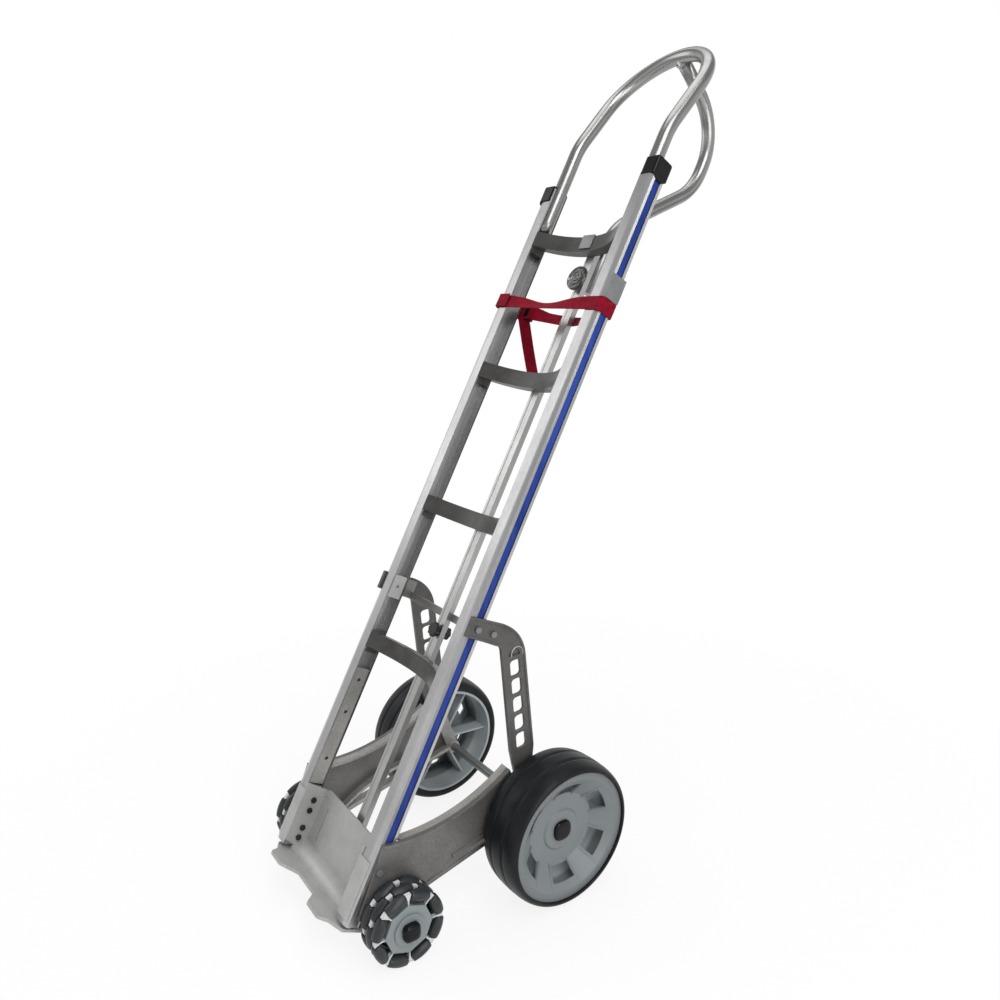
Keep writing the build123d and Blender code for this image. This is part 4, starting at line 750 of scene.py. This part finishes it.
def lap_rows():
    """Short second layer on the right rail, where the strap's end is sewn down."""
    inner = STRAP_SIDE - CORNER
    front = STRAP_FRONT - LAP
    rows = [strap_row(-STRAP_SIDE - LAP, 22 - 4 * k, 0, -1, 0.0, LAP_DROP) for k in range(4)]
    rows += corner_rows(-inner, STRAP_FRONT + CORNER, 180, 270, CORNER + LAP, LAP_DROP)
    rows += [strap_row(-inner + 5 * k, front - 0.15 * k, 1, 0, 0.0, LAP_DROP) for k in range(1, 7)]
    return rows


strap = ribbon("strap_band", strap_rows(), STRAP_W * MM, STRAP_T * MM)
dress(strap, "frame", "strap_fabric", "strap_webbing")
dress(ribbon("strap_lap", lap_rows(), STRAP_W * MM, STRAP_T * MM), "frame", "strap_fabric")

# Tail of the strap, hanging from the buckle
TAIL_TOP = (-103.0, 553.0, 974.0)
TAIL_END = (-98.5, 580.0, 838.0)
TAIL_SWAY = 2.5
TAIL_FACE = Vector((cos(radians(28)), sin(radians(28)), 0))


def tail_rows():
    steps = 24
    top = on_axle(*TAIL_TOP)
    end = on_axle(*TAIL_END)
    down = (end - top).normalized()
    across = (TAIL_FACE - down * TAIL_FACE.dot(down)).normalized()
    normal = down.cross(across)
    rows = []
    for k in range(steps + 1):
        t = k / steps
        rows.append((top.lerp(end, t) + normal * TAIL_SWAY * sin(pi * t) * MM, across, normal))
    return rows


dress(ribbon("strap_tail", tail_rows(), (STRAP_W - 2) * MM, STRAP_T * MM), "frame", "strap_fabric")

# Buckle: two long bars, and cross bars in front of and behind the strap
BUCKLE_U = -103.0
BUCKLE_V = 43.8
RUN_RISE = 32.0 / 131.0
run = (STRAP_DIR + REARWARD * RUN_RISE).normalized()
buckle_axes = (run, STRAP_UP, run.cross(STRAP_UP))
buckle_middle = in_frame(0, 0, STRAP_S) + (STRAP_DIR * BUCKLE_U + REARWARD * BUCKLE_V) * MM
BUCKLE_BARS = (
    ((-17.0, 12.9, -3.4), (17.0, 16.0, 3.4)),
    ((-17.0, -16.0, -3.4), (17.0, -12.9, 3.4)),
    ((-17.0, -12.9, -3.4), (-11.0, 12.9, -1.2)),
    ((-4.5, -12.9, 1.2), (4.5, 12.9, 3.4)),
    ((11.0, -12.9, -3.4), (17.0, 12.9, -1.2)),
)
bars = [block(buckle_middle, buckle_axes, lows, highs) for lows, highs in BUCKLE_BARS]
buckle = bevelled(mesh_piece("buckle_frame", *joined(bars), smooth=False), 0.8 * MM)
dress(buckle, "frame", "black_plastic", "strap_buckle")

# CAD pieces take their finish by slot
for row in frame["record"]["subparts"]:
    node = nodes[row["node"]]
    node.data.materials.clear()
    node.data.materials.append(finishes[row["material_slot"]].material)


# Floor and surroundings: a white backdrop behind the trolley, a dimmer room in front of it
YAW = radians(54.17)
STAND = Vector((1.143, -0.87, 0.0))  # foot of the place that the backdrop is seen from
BACKDROP = Vector((-sin(YAW), cos(YAW), 0.0))


class Setting(Nodes):
    """Nodes of the floor's material or of the world."""

    def __init__(self, tree, kind):
        super().__init__(tree)
        tree.nodes.clear()
        self.output = self.add(kind)

    def measure(self, operation, vector, other=(0, 0, 0)):
        node = self.add("ShaderNodeVectorMath")
        node.operation = operation
        self.link(vector, node.inputs[0])
        node.inputs[1].default_value = other
        return node.outputs["Vector" if operation in ("SUBTRACT", "NORMALIZE") else "Value"]

    def between(self, value, start, end, low=0.0, high=1.0):
        node = self.add("ShaderNodeMapRange", From_Min=start, From_Max=end, To_Min=low, To_Max=high)
        self.link(value, node.inputs["Value"])
        return node.outputs["Result"]

    def mixed(self, factor, first, second):
        node = self.add("ShaderNodeMixShader")
        self.link(factor, node.inputs["Fac"])
        self.link(first, node.inputs[1])
        self.link(second, node.inputs[2])
        return node.outputs["Shader"]

    def bounced(self, rays):
        """1 for glossy and transmission rays."""
        return self.math("MAXIMUM", rays["Is Glossy Ray"], rays["Is Transmission Ray"])


WEDGE_START = 0.6
WEDGE_FULL = 0.78
bpy.ops.mesh.primitive_plane_add(size=60)
floor = bpy.context.object
floor.name = "floor"
paper = bpy.data.materials.new("paper")
paper.use_nodes = True
ground = Setting(paper.node_tree, "ShaderNodeOutputMaterial")
plain = ground.add("ShaderNodeBsdfDiffuse", Color=(0.85, 0.85, 0.85, 1)).outputs["BSDF"]
glow = ground.add("ShaderNodeEmission", Color=(1, 1, 1, 1)).outputs["Emission"]
spot = ground.add("ShaderNodeTexCoord").outputs["Object"]
sight = ground.measure("NORMALIZE", ground.measure("SUBTRACT", spot, STAND))
inside = ground.between(ground.measure("DOT_PRODUCT", sight, BACKDROP), WEDGE_START, WEDGE_FULL)
fade = ground.between(ground.measure("LENGTH", spot), 0.4, 1.3, 0.86, 1.0)
rays = ground.add("ShaderNodeLightPath").outputs
white = ground.mixed(fade, plain, glow)
mirrored = ground.mixed(ground.bounced(rays), plain, ground.mixed(inside, plain, white))
ground.link(ground.mixed(rays["Is Camera Ray"], mirrored, white), ground.output.inputs["Surface"])
floor.data.materials.append(paper)

world = bpy.data.worlds.new("studio")
bpy.context.scene.world = world
world.use_nodes = True
air = Setting(world.node_tree, "ShaderNodeOutputWorld")
heading = air.add("ShaderNodeTexCoord").outputs["Generated"]
split = air.add("ShaderNodeSeparateXYZ")
air.link(heading, split.inputs["Vector"])
height = split.outputs["Z"]


def sky(stops):
    """Background whose brightness follows the height of the direction."""
    background = air.add("ShaderNodeBackground")
    air.link(air.levels(height, stops), background.inputs["Color"])
    return background.outputs["Background"]


ambient = sky([(0.0, 0.32), (0.8, 0.6)])
backdrop = sky([(0.36, 1.0), (0.6, 0.5), (1.0, 0.35)])
room = sky([(0.0, 1.0), (0.28, 0.9), (0.45, 0.45), (0.8, 0.4)])
inside = air.between(air.measure("DOT_PRODUCT", heading, BACKDROP), WEDGE_START, WEDGE_FULL)
rays = air.add("ShaderNodeLightPath").outputs
white = air.add("ShaderNodeBackground", Color=(1, 1, 1, 1)).outputs["Background"]
mirrored = air.mixed(air.bounced(rays), ambient, air.mixed(inside, room, backdrop))
air.link(air.mixed(rays["Is Camera Ray"], mirrored, white), air.output.inputs["Surface"])

LAMPS = [
    ("key", (1.9, -0.45, 3.1), 1.5, 36),
    ("front", (-1.9, -1.3, 2.0), 1.7, 13),
    ("fill", (2.6, -0.3, 1.2), 1.6, 26),
    ("top", (-0.3, 0.4, 3.2), 1.8, 20),
]
AIM = Vector((0, 0, 0.65))
for name, spot, size, power in LAMPS:
    lamp = bpy.data.lights.new(name, "AREA")
    lamp.size = size
    lamp.energy = power
    holder = bpy.data.objects.new(name, lamp)
    holder.location = spot
    holder.rotation_euler = (AIM - Vector(spot)).to_track_quat("-Z", "Y").to_euler()
    bpy.context.scene.collection.objects.link(holder)

# Camera at the photograph's place
PITCH = radians(12.71)
ROLL = radians(0.13)
forward = Vector((-sin(YAW) * cos(PITCH), cos(YAW) * cos(PITCH), -sin(PITCH)))
level = Vector((cos(YAW), sin(YAW), 0))
upward = level.cross(forward)
right = level * cos(ROLL) + upward * sin(ROLL)
up = upward * cos(ROLL) - level * sin(ROLL)
camera = bpy.data.objects.new("camera", bpy.data.cameras.new("camera"))
camera.data.sensor_width = 36.0
camera.data.lens = 29.404
camera.data.clip_start = 0.01
camera.matrix_world = Matrix((right, up, -forward)).transposed().to_4x4()
camera.location = on_axle(1143.07, -399.96, 975.58)
bpy.context.scene.collection.objects.link(camera)
bpy.context.scene.camera = camera
bpy.context.scene.view_settings.view_transform = "Standard"
